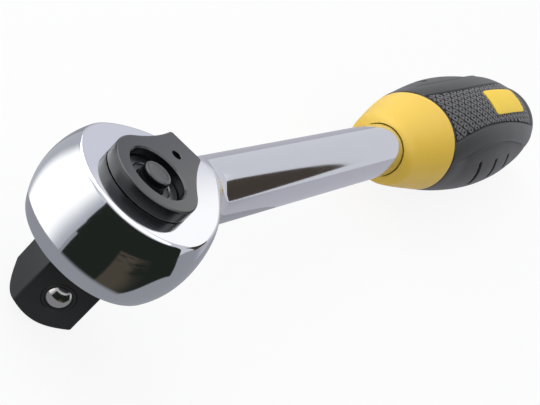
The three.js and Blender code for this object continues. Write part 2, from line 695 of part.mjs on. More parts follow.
function badgePlan(gap) {
  const half = BADGE_WIDTH / 2 + gap;
  const [front, back] = [BADGE_AT - gap, BADGE_AT + BADGE_LENGTH + gap];
  const corner = BADGE_CORNER;
  const right = Math.PI / 2;
  return outline([
    ...arc(back - corner, half - corner, corner, 0, right, CORNER_STEPS),
    ...arc(front + corner, half - corner, corner, right, 2 * right, CORNER_STEPS),
    ...arc(front + corner, corner - half, corner, 2 * right, 3 * right, CORNER_STEPS),
    ...arc(back - corner, corner - half, corner, 3 * right, 4 * right, CORNER_STEPS),
  ]);
}

// One finger slot: a round-ended cutter laid on the grip's side
function slotCutter(profile, i, side) {
  const x = SLOT_AT + SLOT_PITCH * i;
  const length = SLOT_LENGTH - SLOT_SHRINK * i;
  const radius = radiusAt(profile, x);
  const round = SLOT_WIDTH / 2;
  const ends = length / 2 - round;
  const plan = outline([
    ...arc(0, ends, round, 0, Math.PI, CORNER_STEPS),
    ...arc(0, -ends, round, Math.PI, 2 * Math.PI, CORNER_STEPS),
  ]);
  const tilt = radians(SLOT_START) - length / 2 / radius;
  const options = { depth: SLOT_DEPTH + 2 * PAST, bevelEnabled: false };
  const cutter = new THREE.ExtrudeGeometry(plan, options).translate(0, 0, radius - SLOT_DEPTH);
  cutter.rotateX(side * (Math.PI / 2 - tilt));
  const place = cutter.attributes.position;
  for (let k = 0; k < place.count; k += 1) {
    place.setXYZ(k, place.getX(k) + x, place.getY(k) * OVAL, place.getZ(k) / OVAL + GRIP_RISE);
  }
  return solid(cutter);
}

// Grip: a core with its collar, a sleeve moulded over it and a badge let into the sleeve
function gripPieces() {
  const skin = gripProfile();
  const joint = radiusAt(skin, COLLAR_LENGTH);
  const front = skin.filter(([x]) => x < COLLAR_LENGTH);
  const rear = [[COLLAR_LENGTH, joint], ...skin.filter(([x]) => x > COLLAR_LENGTH)];
  const lining = inward(rear, SLEEVE_WALL);
  const heart = inward(rear, SLEEVE_WALL + MOULD);
  const step = COLLAR_LENGTH - MOULD;
  lining[0] = [COLLAR_LENGTH, joint - SLEEVE_WALL];
  heart[0] = [step, joint - SLEEVE_WALL - MOULD];

  const mouth = [[0, 0], [0, MOUTH_RADIUS - MOUTH_EDGE]];
  const unturn = [-GRIP_TURN, 0, 0];
  const seat = SHANK_RADIUS + MOULD;
  const shankEnd = SHANK_SEAT + MOULD;
  const flare = [[-PAST, 0], [-PAST, MOUTH_BORE], [0, MOUTH_BORE], [MOUTH_DEPTH, seat]];
  const shankBore = revolveX([...flare, [shankEnd, seat], [shankEnd, 0]]);
  const tangBore = tang(MOULD).translate(-GRIP_FRONT, 0, 0).rotate(unturn);
  const core = moulded([...mouth, ...front, [step, joint], ...heart])
    .subtract(shankBore)
    .subtract(tangBore);

  const badgeFloor = moulded([[0, 0], ...inward(skin, BADGE_DEPTH)]);
  const recessFloor = moulded([[0, 0], ...inward(skin, BADGE_DEPTH + MOULD)]);
  const badgeTop = moulded([[0, 0], ...inward(skin, -BADGE_PROUD)]);
  const tall = 2 * BELLY_RADIUS;
  const badge = prism(badgePlan(0), 0, tall).intersect(badgeTop).subtract(badgeFloor);
  let sleeve = moulded([...lining.reverse(), ...rear])
    .subtract(prism(badgePlan(MOULD), 0, tall).subtract(recessFloor));
  for (let i = 0; i < SLOTS; i += 1) {
    for (const side of [-1, 1]) {
      sleeve = sleeve.subtract(slotCutter(skin, i, side));
    }
  }
  return [
    piece('grip_core', core, YELLOW),
    piece('grip_sleeve', sleeve, GRIP_RUBBER),
    piece('badge_inlay', badge, YELLOW),
  ];
}

// A group of pieces turned together about Z through a place on X
function turnedGroup(angle, x, pieces) {
  const group = new THREE.Group();
  group.position.set(x, 0, 0);
  group.rotation.z = angle;
  group.add(...pieces);
  return group;
}

const ratchet = new THREE.Group();
ratchet.add(
  piece('head_body', headBody(), CHROME),
  piece('bottom_plate', bottomPlate(), BARE_STEEL),
  piece('plate_snap_ring', snapRing(), SPRING_STEEL),
  piece('thrust_washer', thrustWasher(), BARE_STEEL),
  piece('pawl_spring', pawlSpring(), SPRING_STEEL),
);
ratchet.add(turnedGroup(radians(DRIVE_TURN), 0, [
  piece('drive_gear', driveGear(), BLACK_STEEL),
  piece('drive_seal', torus(journalRadius - SEAL_SECTION, SEAL_SECTION - RUN / 2,
    (plateLow + plateHigh) / 2), SEAL_RUBBER),
  piece('detent_ball', detentBall(), BARE_STEEL),
  piece('release_pin', releasePin(), BARE_STEEL),
  piece('release_button', releaseButton(), BLACK_LEVER),
  piece('release_spring', releaseSpring(), SPRING_STEEL),
  piece('button_retainer', buttonRetainer(), SPRING_STEEL),
]));
ratchet.add(turnedGroup(radians(LEVER_REST), 0, [
  piece('reversing_lever', reversingLever(), BLACK_LEVER),
  piece('shift_plate', shiftPlate(), BARE_STEEL),
  piece('lever_clip', leverClip(), SPRING_STEEL),
  piece('lever_seal', torus(hubRadius - SEAL_SECTION, SEAL_SECTION - RUN / 2,
    roofLow + ROOF / 2), SEAL_RUBBER),
]));
ratchet.add(turnedGroup(pawlTurn, PAWL_PIVOT, [piece('pawl', pawl(), BLACK_STEEL)]));

const grip = new THREE.Group();
grip.position.set(GRIP_FRONT, 0, shankHeight);
grip.rotation.x = radians(GRIP_TURN);
grip.add(...gripPieces());
ratchet.add(grip);

export default ratchet;
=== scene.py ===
"""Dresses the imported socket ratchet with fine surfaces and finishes, and sets up its studio.

Lengths inside the functions are millimetres in the part's frame: the origin is the centre of the
drive's end face, +X runs along the handle and +Z runs up the drive axis to the lever.
"""

import math
from types import SimpleNamespace

import bmesh
import bpy
import numpy as np
from mathutils import Matrix, Vector


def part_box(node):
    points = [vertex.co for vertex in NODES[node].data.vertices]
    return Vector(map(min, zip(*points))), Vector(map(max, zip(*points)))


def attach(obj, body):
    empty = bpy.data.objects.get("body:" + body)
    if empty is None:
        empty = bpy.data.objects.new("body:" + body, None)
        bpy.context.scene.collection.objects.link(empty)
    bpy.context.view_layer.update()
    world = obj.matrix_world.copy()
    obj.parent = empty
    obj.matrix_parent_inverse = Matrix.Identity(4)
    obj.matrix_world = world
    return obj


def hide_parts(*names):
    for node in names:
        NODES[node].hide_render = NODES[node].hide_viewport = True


bl_info = {
    "name": "Socket Ratchet Looks",
    "version": (1, 0, 0),
    "blender": (4, 5, 0),
    "location": "3D View > Sidebar > Ratchet",
    "description": "Builds the fine surfaces, finishes and studio of a socket ratchet",
    "category": "Object",
}

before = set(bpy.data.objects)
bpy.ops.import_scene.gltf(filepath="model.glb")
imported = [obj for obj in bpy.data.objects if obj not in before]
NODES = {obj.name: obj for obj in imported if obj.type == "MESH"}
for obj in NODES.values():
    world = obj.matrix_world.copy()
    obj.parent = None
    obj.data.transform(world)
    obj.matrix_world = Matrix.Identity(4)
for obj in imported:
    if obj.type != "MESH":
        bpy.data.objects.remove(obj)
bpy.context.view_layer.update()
MM = 0.001
WELD = 0.002  # points closer than this are one point
HALVINGS = 60  # steps of a search that halves its range
HEAD_LOW, HEAD_HIGH = (np.array(corner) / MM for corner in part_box("head_body"))
LEVER_LOW, LEVER_HIGH = (np.array(corner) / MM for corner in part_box("reversing_lever"))
DRIVE_HIGH = np.array(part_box("drive_gear")[1]) / MM
PLATE_LOW, PLATE_HIGH = (np.array(corner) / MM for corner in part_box("bottom_plate"))
SNAP_LOW, SNAP_HIGH = (np.array(corner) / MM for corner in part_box("plate_snap_ring"))
BUTTON_LOW, BUTTON_HIGH = (np.array(corner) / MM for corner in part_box("release_button"))
RETAINER_LOW, RETAINER_HIGH = (np.array(corner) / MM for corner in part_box("button_retainer"))


def length(name, description, millimetres):
    """A length property with its default in millimetres."""
    return bpy.props.FloatProperty(
        name=name, description=description, default=float(millimetres) * MM,
        unit="LENGTH", precision=5,
    )


def angle(name, description, degrees):
    """An angle property with its default in degrees."""
    return bpy.props.FloatProperty(
        name=name, description=description, default=math.radians(degrees),
        subtype="ANGLE", unit="ROTATION",
    )


def number(name, description, value):
    """A plain number property."""
    return bpy.props.FloatProperty(name=name, description=description, default=value, precision=4)


def colour(name, description, value):
    """A colour property, written in linear light."""
    return bpy.props.FloatVectorProperty(
        name=name, description=description, subtype="COLOR", size=3, min=0, max=1, default=value,
    )


class HeadSizes(bpy.types.PropertyGroup):
    """Sizes of the head forging with its neck and shank."""

    radius: length("Head radius", "Widest radius of the barrel", -HEAD_LOW[0])
    top: length("Top", "Height of the flat top", HEAD_HIGH[2])
    bottom: length("Bottom", "Height of the flat underside", HEAD_LOW[2])
    rim: length("Rim radius", "Radius of the flat faces", 14.05)
    edge: length("Edge", "Rounding between the barrel and the flats", 0.9)
    neck_start: length("Neck start", "Place where the neck leaves the barrel", 1.5)
    neck_blend: length("Neck blend", "Length over which the neck turns round", 9)
    neck_full: length("Neck full", "Place that the neck aims at from the head", 15)
    neck_waist: length("Neck waist", "Place that the neck aims back at from the shank", 18.5)
    neck_end: length("Neck end", "Place where the neck is the shank", 28)
    shank_radius: length("Shank radius", "Radius of the shank", 7.27)
    shank_height: length("Shank height", "Height of the shank's axis", 26.5)
    shank_end: length("Shank end", "End of the full shank in the collar", 143)
    tang_end: length("Tang end", "End of the tang in the grip", HEAD_HIGH[0])
    tang_radius: length("Tang radius", "Radius of the tang", 5)
    tang_half: length("Tang half", "Half the tang's width between its flats", 4.2)
    hub_bore: length("Hub bore", "Radius of the hole in the roof", 7.8)
    roof: length("Roof", "Height of the roof's underside", 31.8)
    gear_bore: length("Gear bore", "Radius of the room round the toothed wheel", 10.7)
    ledge: length("Ledge", "Height of the step over the bottom plate", 20.65)
    counterbore: length("Counterbore", "Radius of the opening underneath", 12.4)
    pocket_at: length("Pocket centre", "Centre of the pawl's pocket", 4)
    pocket_radius: length("Pocket radius", "Radius of the pawl's pocket", 11.1)
    pocket_span: angle("Pocket span", "Angle from the pocket's middle to its ends", 75.3)
    hub_edge: length("Hub edge", "Chamfer of the hole in the roof", 0.2)
    mouth_edge: length("Mouth edge", "Chamfer of the opening underneath", 0.3)
    plate_play: length("Plate play", "Room between the bottom plate and the journal", 0.1)
    plate_edge: length("Plate edge", "Chamfer of the bottom plate", 0.2)
    snap_width: length("Snap ring width", "Width of the snap ring's section", 1.6)
    snap_gap: length("Snap ring gap", "Opening of the snap ring", 5)


class DriveSizes(bpy.types.PropertyGroup):
    """Sizes of the drive, its ball and its button."""

    half: length("Half square", "Half the square's width", 6.35)
    corner: length("Corner", "Rounding of the square's long edges", 0.5)
    square_end: length("Square end", "Height where the square meets its journal", 16)
    tip_inset: length("Tip inset", "Inset of the end face", 0.5)
    tip_rise: length("Tip rise", "Height of the turned tip at the corners", 2.4)
    journal: length("Journal", "Radius of the lower journal", 9.2)
    gear_radius: length("Gear radius", "Radius over the teeth", 10.45)
    gear_low: length("Gear low", "Lower face of the toothed wheel", 21.25)
    gear_high: length("Gear high", "Upper face of the toothed wheel", 29.4)
    tooth_depth: length("Tooth depth", "Depth of the teeth", 0.75)
    upper_journal: length("Upper journal", "Radius of the upper journal", 6.0)
    top: length("Top", "Height of the upper journal", DRIVE_HIGH[2])
    spring_pocket: length("Spring pocket", "Radius of the room for the spring", 4.1)
    spring_floor: length("Spring floor", "Floor of the spring's room", 24.7)
    pin_bore: length("Pin bore", "Radius of the pin's hole", 2.1)
    chamber: length("Chamber", "Radius of the pin's hole behind the ball", 3.35)
    bore_floor: length("Bore floor", "Floor of the pin's hole", 1.0)
    ball_radius: length("Ball radius", "Radius of the ball", 3)
    ball_out: length("Ball place", "Drive axis to the ball's centre", 4.65)
    ball_height: length("Ball height", "Height of the ball's centre", 7.5)
    ball_mouth: length("Ball mouth", "Radius of the staked mouth round the ball", 2.57)
    ball_bore: length("Ball bore", "Radius of the ball's hole", 3.1)
    button: length("Button radius", "Radius of the button", 2.9)
    button_flange: length("Flange radius", "Radius of the button's flange", 4.0)
    button_socket: length("Socket", "Radius of the hole for the pin", 1.35)
    socket_depth: length("Socket depth", "Depth of the hole for the pin", 2.7)
    flange_height: length("Flange height", "Height of the button's flange", 1.2)
    crown: length("Crown", "Rounding of the button's upper edge", 0.55)
    retainer_play: length("Retainer play", "Room between the button and its retainer", 0.1)
    retainer_seat: length("Retainer seat", "The retainer sits this deep in its groove", 0.4)
    edge: length("Edge", "Chamfer of the journals", 0.15)
    tooth_edge: length("Tooth edge", "Chamfer of the teeth's ends", 0.25)
    mouth_edge: length("Mouth edge", "Chamfer of the upper journal", 0.2)
    root: length("Root", "Rounding where the square meets its journal", 0.3)
    turn: angle("Drive turn", "Turn of the square from the handle", 41.9)


class LeverSizes(bpy.types.PropertyGroup):
    """Sizes of the reversing lever."""

    low: length("Lever low", "Underside of the lever", 34.34)
    high: length("Lever high", "Top of the lever", LEVER_HIGH[2])
    hub_end: length("Hub end", "Lower end of the hub", LEVER_LOW[2])
    disc: length("Disc radius", "Radius of the lever's disc", 9.2)
    tail: length("Tail", "Drive axis to the tail's end", 16.8)
    tail_half: length("Tail half", "Half the tail's width", 4)
    tail_corner: length("Tail corner", "Rounding of the tail's corners", 0.7)
    edge: length("Edge", "Rounding of the upper edge", 0.5)
    foot: length("Foot", "Rounding of the lower edge", 0.12)
    well: length("Well", "Radius of the well round the button", 6.1)
    well_edge: length("Well edge", "Chamfer of the well", 0.3)
    hub: length("Hub", "Radius of the hub", 7.7)
    dimple: length("Dimple", "Radius of the dimple in the tail", 1.05)
    dimple_at: length("Dimple place", "Drive axis to the dimple", 10.6)
    dimple_depth: length("Dimple depth", "Depth of the dimple", 1.3)
    flank: angle("Flank", "Angle where the flanks leave the disc", 62)
    taper: angle("Taper", "Angle of the flanks at the tail", 8.5)
    turn: angle("Lever turn", "Turn of the lever from the handle", 16.6)


class GripSizes(bpy.types.PropertyGroup):
    """Sizes of the grip: collar, sleeve and badge."""

    front: length("Front", "Drive axis to the collar's mouth", 131)
    height: length("Height", "Height of the shank's axis", 26.5)
    collar: length("Collar", "Length of the collar", 24)
    belly_at: length("Belly place", "Mouth to the widest place", 66)
    tail_at: length("Tail place", "Mouth to the rounded end", 127)
    end: length("Length", "Length of the grip", 135)
    mouth: length("Mouth", "Outer radius of the mouth", 9.4)
    mouth_edge: length("Mouth edge", "Rounding of the mouth", 0.8)
    mouth_round: length("Mouth round", "Length of the rounded lip", 2.6)
    mouth_bore: length("Mouth bore", "Radius of the flared bore", 7.42)
    mouth_depth: length("Mouth depth", "Depth of the flare", 0.8)
    seat: length("Seat", "Radius of the bore on the shank", 7.36)
    seat_depth: length("Seat depth", "Depth of the bore on the shank", 12.2)
    belly: length("Belly", "Radius of the belly", 17.2)
    tail: length("Tail", "Radius at the rounded end", 11.6)
    rise: length("Rise", "Lift of the belly over the shank", 1.2)
    wave: length("Wave", "Swing of the collar's edge", 2.2)
    wall: length("Sleeve wall", "Thickness of the rubber", 2.2)
    gap: length("Gap", "Groove between the collar and the rubber", 0.2)
    panel: length("Panel depth", "Depth of the patterned panel", 0.5)
    pad_height: length("Pad height", "Height of the diamond pads", 0.42)
    pad_pitch: length("Pad pitch", "Spacing of the pads along the handle", 5.5)
    pad_row: length("Pad row", "Spacing of the rows of pads", 1.56)
    crease: length("Crease", "Step along the finger side", 0.5)
    ridge: length("Ridge", "Height of the fine ridge along the crease", 0.22)
    swell: length("Swell", "Swelling between the panel and the crease", 0.25)
    lip: length("Lip", "Rounding of the rubber's front edge", 0.45)
    slot_at: length("Slot place", "Mouth to the first finger slot", 49)
    slot_pitch: length("Slot pitch", "Spacing of the finger slots", 15)
    slot_width: length("Slot width", "Width of a finger slot", 2.2)
    slot_depth: length("Slot depth", "Depth of a finger slot", 0.9)
    slot_length: length("Slot length", "Length of the first finger slot", 9.4)
    slot_shrink: length("Slot shrink", "Each slot is shorter by this", 2.1)
    badge_at: length("Badge place", "Mouth to the badge", 64.5)
    badge_length: length("Badge length", "Length of the badge", 40)
    badge_width: length("Badge width", "Width of the badge", 8.6)
    badge_proud: length("Badge proud", "The badge stands this far out", 0.2)
    oval: number("Oval", "The grip is this much wider and lower than round", 1.08)
    collar_slope: number("Collar slope", "Rise of the profile at the mouth", 0.215)
    tail_slope: number("Tail slope", "Fall of the profile at the end", 0.19)
    turn: angle("Grip turn", "Turn of the grip about the shank", 7)


class Finishes(bpy.types.PropertyGroup):
    """Colours of the finishes, in linear light."""

    chrome: colour("Chrome", "Polished chrome plate", (0.73, 0.74, 0.76))
    bare_steel: colour("Bare steel", "Turned steel", (0.52, 0.52, 0.54))
    spring_steel: colour("Spring steel", "Drawn steel", (0.3, 0.31, 0.33))
    black_steel: colour("Black steel", "Black oxide on steel", (0.068, 0.068, 0.066))
    black_lever: colour("Black lever", "Satin black", (0.006, 0.007, 0.0078))
    ball: colour("Ball", "Polished steel of the ball", (0.62, 0.6, 0.57))
    seal: colour("Seal", "Black seal rubber", (0.015, 0.015, 0.015))
    yellow: colour("Yellow", "Yellow plastic", (0.87, 0.58, 0.06))
    badge: colour("Badge", "Brighter yellow of the badge", (0.95, 0.66, 0.05))
    rubber: colour("Rubber", "Black grip rubber", (0.011, 0.0125, 0.0105))
    pads: colour("Pads", "Dusty grey of the diamond pads", (0.085, 0.085, 0.085))


class StudioSettings(bpy.types.PropertyGroup):
    """Colours and levels of the studio."""

    floor: colour("Floor", "Pale floor", (0.82, 0.82, 0.83))
    floor_mirrored: colour("Mirrored floor", "Floor as metal shows it", (0.34, 0.35, 0.385))
    sky: colour("Sky", "Soft light from all round", (0.6, 0.6, 0.68))
    sky_mirrored: colour("Mirrored sky", "Sky as metal shows it", (0.72, 0.73, 0.79))
    key: number("Key light", "Watts of the soft key light", 9)
    fill: number("Fill light", "Watts of the overhead light", 3.8)


class RatchetSettings(bpy.types.PropertyGroup):
    """All settings of the ratchet."""

    head: bpy.props.PointerProperty(type=HeadSizes)
    drive: bpy.props.PointerProperty(type=DriveSizes)
    lever: bpy.props.PointerProperty(type=LeverSizes)
    grip: bpy.props.PointerProperty(type=GripSizes)
    finishes: bpy.props.PointerProperty(type=Finishes)
    studio: bpy.props.PointerProperty(type=StudioSettings)


def sizes(name):
    """A group's values by name, with its lengths in millimetres."""
    group = getattr(bpy.context.scene.ratchet, name)
    values = {}
    for key, prop in group.bl_rna.properties.items():
        if key in group.__annotations__:
            is_length = getattr(prop, "unit", "NONE") == "LENGTH"
            values[key] = getattr(group, key) / MM if is_length else getattr(group, key)
    return SimpleNamespace(**values)


def ease(low, high, value):
    """Zero below low, one above high, and the smooth cubic step between them."""
    share = np.clip((value - low) / (high - low), 0, 1)
    return share * share * (3 - 2 * share)


def bernstein(order, t):
    """The weights of a Bezier curve's corners at a share of its length."""
    return [math.comb(order, k) * t**k * (1 - t) ** (order - k) for k in range(order + 1)]


def bezier(corners, count):
    """Points of a Bezier curve: its corners weighted by the Bernstein polynomials."""
    weights = bernstein(len(corners) - 1, np.linspace(0, 1, count)[:, None])
    return sum(weight * np.asarray(corner, float) for weight, corner in zip(weights, corners))


def rounded_square(columns, power):
    """A square's outline between -1 and 1: cosine and sine, each raised to a power of its size."""
    swing = np.linspace(0, 2 * math.pi, columns, endpoint=False)
    return [np.sign(wave) * np.abs(wave) ** power for wave in (np.cos(swing), np.sin(swing))]


def turned(points, turn):
    """The points turned by an angle about the drive axis."""
    cos, sin = math.cos(turn), math.sin(turn)
    x, y, height = np.moveaxis(points, -1, 0)
    return np.stack([cos * x - sin * y, sin * x + cos * y, height], -1)


def lathe(profile, columns=96):
    """A surface of revolution: each radius and height of the profile carried round the drive axis."""
    profile = np.asarray(profile, float)
    turn = np.linspace(0, 2 * math.pi, columns, endpoint=False)
    radius, height = profile[:, :1], profile[:, 1:]
    return np.stack([radius * np.cos(turn), radius * np.sin(turn), height + 0 * turn], -1)


def border(points, block):
    """The points round a block of a grid's cells, in order."""
    low, high, left, right = block
    patch = points[low:high + 1, left:right + 1]
    return np.concatenate([patch[0, :-1], patch[:-1, -1], patch[-1, :0:-1], patch[:0:-1, 0]])


class Skin:
    """Grids of points that are joined where they meet, as one closed surface."""

    def __init__(self):
        self.points, self.tones, self.quads, self.count = [], [], [], 0

    def grid(self, points, loop=True, skip=None, tone=0.0):
        """Adds the cells between rows and columns, with a share of painted shade from 0 to 1 that
        darkens their finish in recesses.

        Loop joins the last column to the first, and skip leaves out blocks of cells.
        """
        rows, columns = points.shape[:2]
        index = np.arange(rows * columns).reshape(rows, columns) + self.count
        if loop:
            index = np.c_[index, index[:, :1]]
        cells = [index[:-1, :-1], index[1:, :-1], index[1:, 1:], index[:-1, 1:]]
        quads = np.stack(cells, -1)
        keep = np.ones(quads.shape[:2], bool)
        for low, high, left, right in skip or []:
            keep[low:high, left:right] = False
        self.points.append(points.reshape(-1, 3))
        self.tones.append(np.broadcast_to(tone, (rows, columns)).ravel())
        self.quads.append(quads[keep])
        self.count += rows * columns
        return self

    def mesh(self, name, sharp):
        """Joins equal points, drops folded cells and turns every face outwards."""
        points, quads = np.concatenate(self.points), np.concatenate(self.quads)
        keys = np.round(points / WELD).astype(np.int64)
        _, first, index = np.unique(keys, axis=0, return_index=True, return_inverse=True)
        quads = index.reshape(-1)[quads]
        same = quads == np.roll(quads, -1, axis=1)
        folded = (quads[:, 0] == quads[:, 2]) | (quads[:, 1] == quads[:, 3])
        whole = quads[(same.sum(1) == 0) & ~folded]
        pinched = (same.sum(1) == 1) & ~folded
        triangles = quads[pinched][~same[pinched]].reshape(-1, 3)
        mesh = bpy.data.meshes.new(name)
        mesh.from_pydata(points[first] * MM, [], [*whole.tolist(), *triangles.tolist()])
        # each point's painted shade, kept as an attribute for the rubber's finish
        tones = np.concatenate(self.tones)[first].astype(np.float32)
        mesh.attributes.new("tone", "FLOAT", "POINT").data.foreach_set("value", tones)
        work = bmesh.new()
        work.from_mesh(mesh)
        bmesh.ops.delete(work, geom=[v for v in work.verts if not v.link_faces], context="VERTS")
        bmesh.ops.recalc_face_normals(work, faces=work.faces)
        work.to_mesh(mesh)
        work.free()
        mesh.shade_smooth()
        mesh.set_sharp_from_angle(angle=math.radians(sharp))
        return mesh


def make_piece(name, skin, finish, body, nodes=(), sharp=38):
    """Makes the object of a finished surface, riding on its body and standing for its nodes."""
    piece = bpy.data.objects.new(name, skin.mesh(name, sharp))
    piece.data.materials.append(finish)
    bpy.context.scene.collection.objects.link(piece)
    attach(piece, body)
    if nodes:
        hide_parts(*nodes)
    return piece


class Value:
    """A shader socket that can stand in a Python expression."""

    def __init__(self, shade, socket):
        self.shade, self.socket = shade, socket

    def __add__(self, other):
        return self.shade.maths("ADD", self, other)

    __radd__ = __add__

    def __sub__(self, other):
        return self.shade.maths("SUBTRACT", self, other)

    def __rsub__(self, other):
        return self.shade.maths("SUBTRACT", other, self)

    def __mul__(self, other):
        return self.shade.maths("MULTIPLY", self, other)

    __rmul__ = __mul__


class Shade:
    """A node tree that is written as expressions."""

    def __init__(self, tree):
        self.tree = tree
        tree.nodes.clear()

    def node(self, kind, settings=None, sockets=None):
        """A node of a kind, with its settings first and then its sockets' values or links."""
        made = self.tree.nodes.new("ShaderNode" + kind)
        for key, value in (settings or {}).items():
            setattr(made, key, value)
        for key, value in (sockets or {}).items():
            if isinstance(value, Value):
                self.tree.links.new(value.socket, made.inputs[key])
            else:
                made.inputs[key].default_value = value
        return made

    def value(self, kind, settings=None, sockets=None, output=0):
        """One output of a new node."""
        return Value(self, self.node(kind, settings, sockets).outputs[output])

    def maths(self, operation, first, second=0.0):
        return self.value("Math", {"operation": operation}, {0: first, 1: second})

    def step(self, value, low, high):
        """Zero below low, one above high and smooth between."""
        ends = {"Value": value, "From Min": low, "From Max": high}
        return self.value("MapRange", {"interpolation_type": "SMOOTHSTEP"}, ends)

    def mix(self, share, first, second):
        """A colour between two colours."""
        ends = {0: share, 6: rgba(first), 7: rgba(second)}
        return self.value("Mix", {"data_type": "RGBA"}, ends, 2)

    def place(self, stretch=(1, 1, 1)):
        """The surface point in the part's frame, stretched along each axis."""
        point = self.value("TexCoord", output="Object")
        return self.value("VectorMath", {"operation": "MULTIPLY"}, {0: point, 1: stretch})

    def noise(self, size, detail=2.0, stretch=(1, 1, 1)):
        """Soft noise from 0 to 1 with features of a size in millimetres."""
        sockets = {"Vector": self.place(stretch), "Scale": 1 / (size * MM), "Detail": detail}
        return self.value("TexNoise", None, sockets)

    def bump(self, height, strength, depth):
        """A normal bent by a height, for a depth in millimetres."""
        sockets = {"Height": height, "Strength": strength, "Distance": depth * MM}
        return self.value("Bump", None, sockets)


def rgba(value):
    """A colour with its alpha, or the value itself where it is a link."""
    return value if isinstance(value, Value) else (*value, 1.0)


def tint_of(finish):
    """A finish's colour from the settings."""
    return getattr(bpy.context.scene.ratchet.finishes, finish)


def toned(tint, share):
    """A colour made darker or paler by a share."""
    return [share * part for part in tint]


def shader(name, sockets):
    """A material whose one surface shader takes what the function returns for its sockets."""
    made = bpy.data.materials.get("finish_" + name)
    if made:
        return made
    made = bpy.data.materials.new("finish_" + name)
    made.use_nodes = True
    shade = Shade(made.node_tree)
    surface = shade.value("BsdfPrincipled", None, sockets(shade))
    shade.node("OutputMaterial", None, {"Surface": surface})
    return made


def chrome():
    """Mirror chrome with faint polishing marks and handling haze."""
    tint = tint_of("chrome")

    def sockets(shade):
        haze = shade.noise(9, 3)
        marks = shade.noise(0.8, 2, (1, 6, 6))
        return {
            "Base Color": shade.mix(haze, toned(tint, 0.96), tint),
            "Metallic": 1.0,
            "Roughness": 0.03 + 0.05 * haze + 0.02 * marks,
        }

    return shader("chrome", sockets)


def turned_steel(name, tint, rough):
    """Bright steel with fine turning rings round the drive axis."""

    def sockets(shade):
        cloud = shade.noise(2.5, 3)
        rings = shade.noise(0.25, 2, (1, 1, 3))
        return {
            "Base Color": shade.mix(cloud, toned(tint, 0.86), tint),
            "Metallic": 1.0,
            "Roughness": rough + 0.1 * rings,
            "Normal": shade.bump(rings, 0.25, 0.01),
        }

    return shader(name, sockets)


def bare_steel():
    """Turned steel of the bottom plate, pin, washer and shift plate."""
    return turned_steel("bare_steel", tint_of("bare_steel"), 0.24)


def spring_steel():
    """Drawn steel of the springs, clip and snap ring."""
    return turned_steel("spring_steel", tint_of("spring_steel"), 0.3)


def black_steel():
    """Black oxide, drawn lengthwise, worn bright on the ring under the button."""
    tint, bright = tint_of("black_steel"), tint_of("bare_steel")
    worn_low, worn_high = 34.5 * MM, 34.7 * MM

    def sockets(shade):
        cloud = shade.noise(3, 3)
        drawn = shade.noise(0.35, 2, (1, 1, 0.05))
        height = shade.value("SeparateXYZ", None, {0: shade.place()}, 2)
        worn = shade.step(height, worn_low, worn_high)
        oxide = shade.mix(cloud, toned(tint, 0.8), toned(tint, 1.15))
        return {
            "Base Color": shade.mix(worn, oxide, toned(bright, 0.2)),
            "Metallic": 1.0,
            "Roughness": 0.36 + 0.1 * cloud - 0.16 * worn,
            "Normal": shade.bump(drawn, 0.12, 0.02),
        }

    return shader("black_steel", sockets)


def black_lever():
    """Satin black with a fine cast grain."""
    tint = tint_of("black_lever")

    def sockets(shade):
        grain = shade.noise(0.22, 2)
        cloud = shade.noise(4, 2)
        return {
            "Base Color": shade.mix(cloud, toned(tint, 0.9), toned(tint, 1.1)),
            "Roughness": 0.2 + 0.1 * cloud,
            "Specular IOR Level": 0.8,
            "Normal": shade.bump(grain, 0.03, 0.02),
        }

    return shader("black_lever", sockets)


def seal_rubber():
    """Dull black rubber of the seals."""
    tint = tint_of("seal")

    def sockets(shade):
        cloud = shade.noise(1.5, 2)
        return {
            "Base Color": shade.mix(cloud, toned(tint, 0.8), toned(tint, 1.3)),
            "Roughness": 0.7 + 0.15 * cloud,
        }

    return shader("seal_rubber", sockets)


def yellow_plastic(name, tint, rough):
    """Yellow moulded plastic with a soft sheen and faint moulding clouds."""

    def sockets(shade):
        cloud = shade.noise(14, 3)
        grain = shade.noise(0.3, 2)
        pale = [min(1, c * 1.04 + 0.01) for c in tint]
        return {
            "Base Color": shade.mix(cloud, toned(tint, 0.95), pale),
            "Roughness": rough + 0.08 * cloud,
            "Normal": shade.bump(grain, 0.05, 0.02),
        }

    return shader(name, sockets)


def grip_rubber(name, tint):
    """Rubber with a fine grain and a dusty bloom, and painted shade where its recesses are deep."""

    def sockets(shade):
        cloud = shade.noise(11, 3)
        grain = shade.noise(0.28, 3)
        recess_shade = shade.value("Attribute", {"attribute_name": "tone"}, None, "Fac")
        bloom = shade.mix(cloud, toned(tint, 0.85), toned(tint, 1.2))
        # near-black painted shade for the sunk panel, the finger slots and the pads' hollows
        groove = (0.006, 0.006, 0.006)
        return {
            "Base Color": shade.mix(recess_shade, bloom, groove),
            "Roughness": 0.42 + 0.12 * cloud + 0.45 * recess_shade,
            "Specular IOR Level": 0.4,
            "Sheen Weight": 0.16,
            "Sheen Roughness": 0.4,
            "Normal": shade.bump(grain, 0.4, 0.04),
        }

    return shader(name, sockets)


def dress(finish, *names):
    """Gives CAD nodes a finish and leaves their meshes alone."""
    for name in names:
        NODES[name].data.materials.clear()
        NODES[name].data.materials.append(finish)


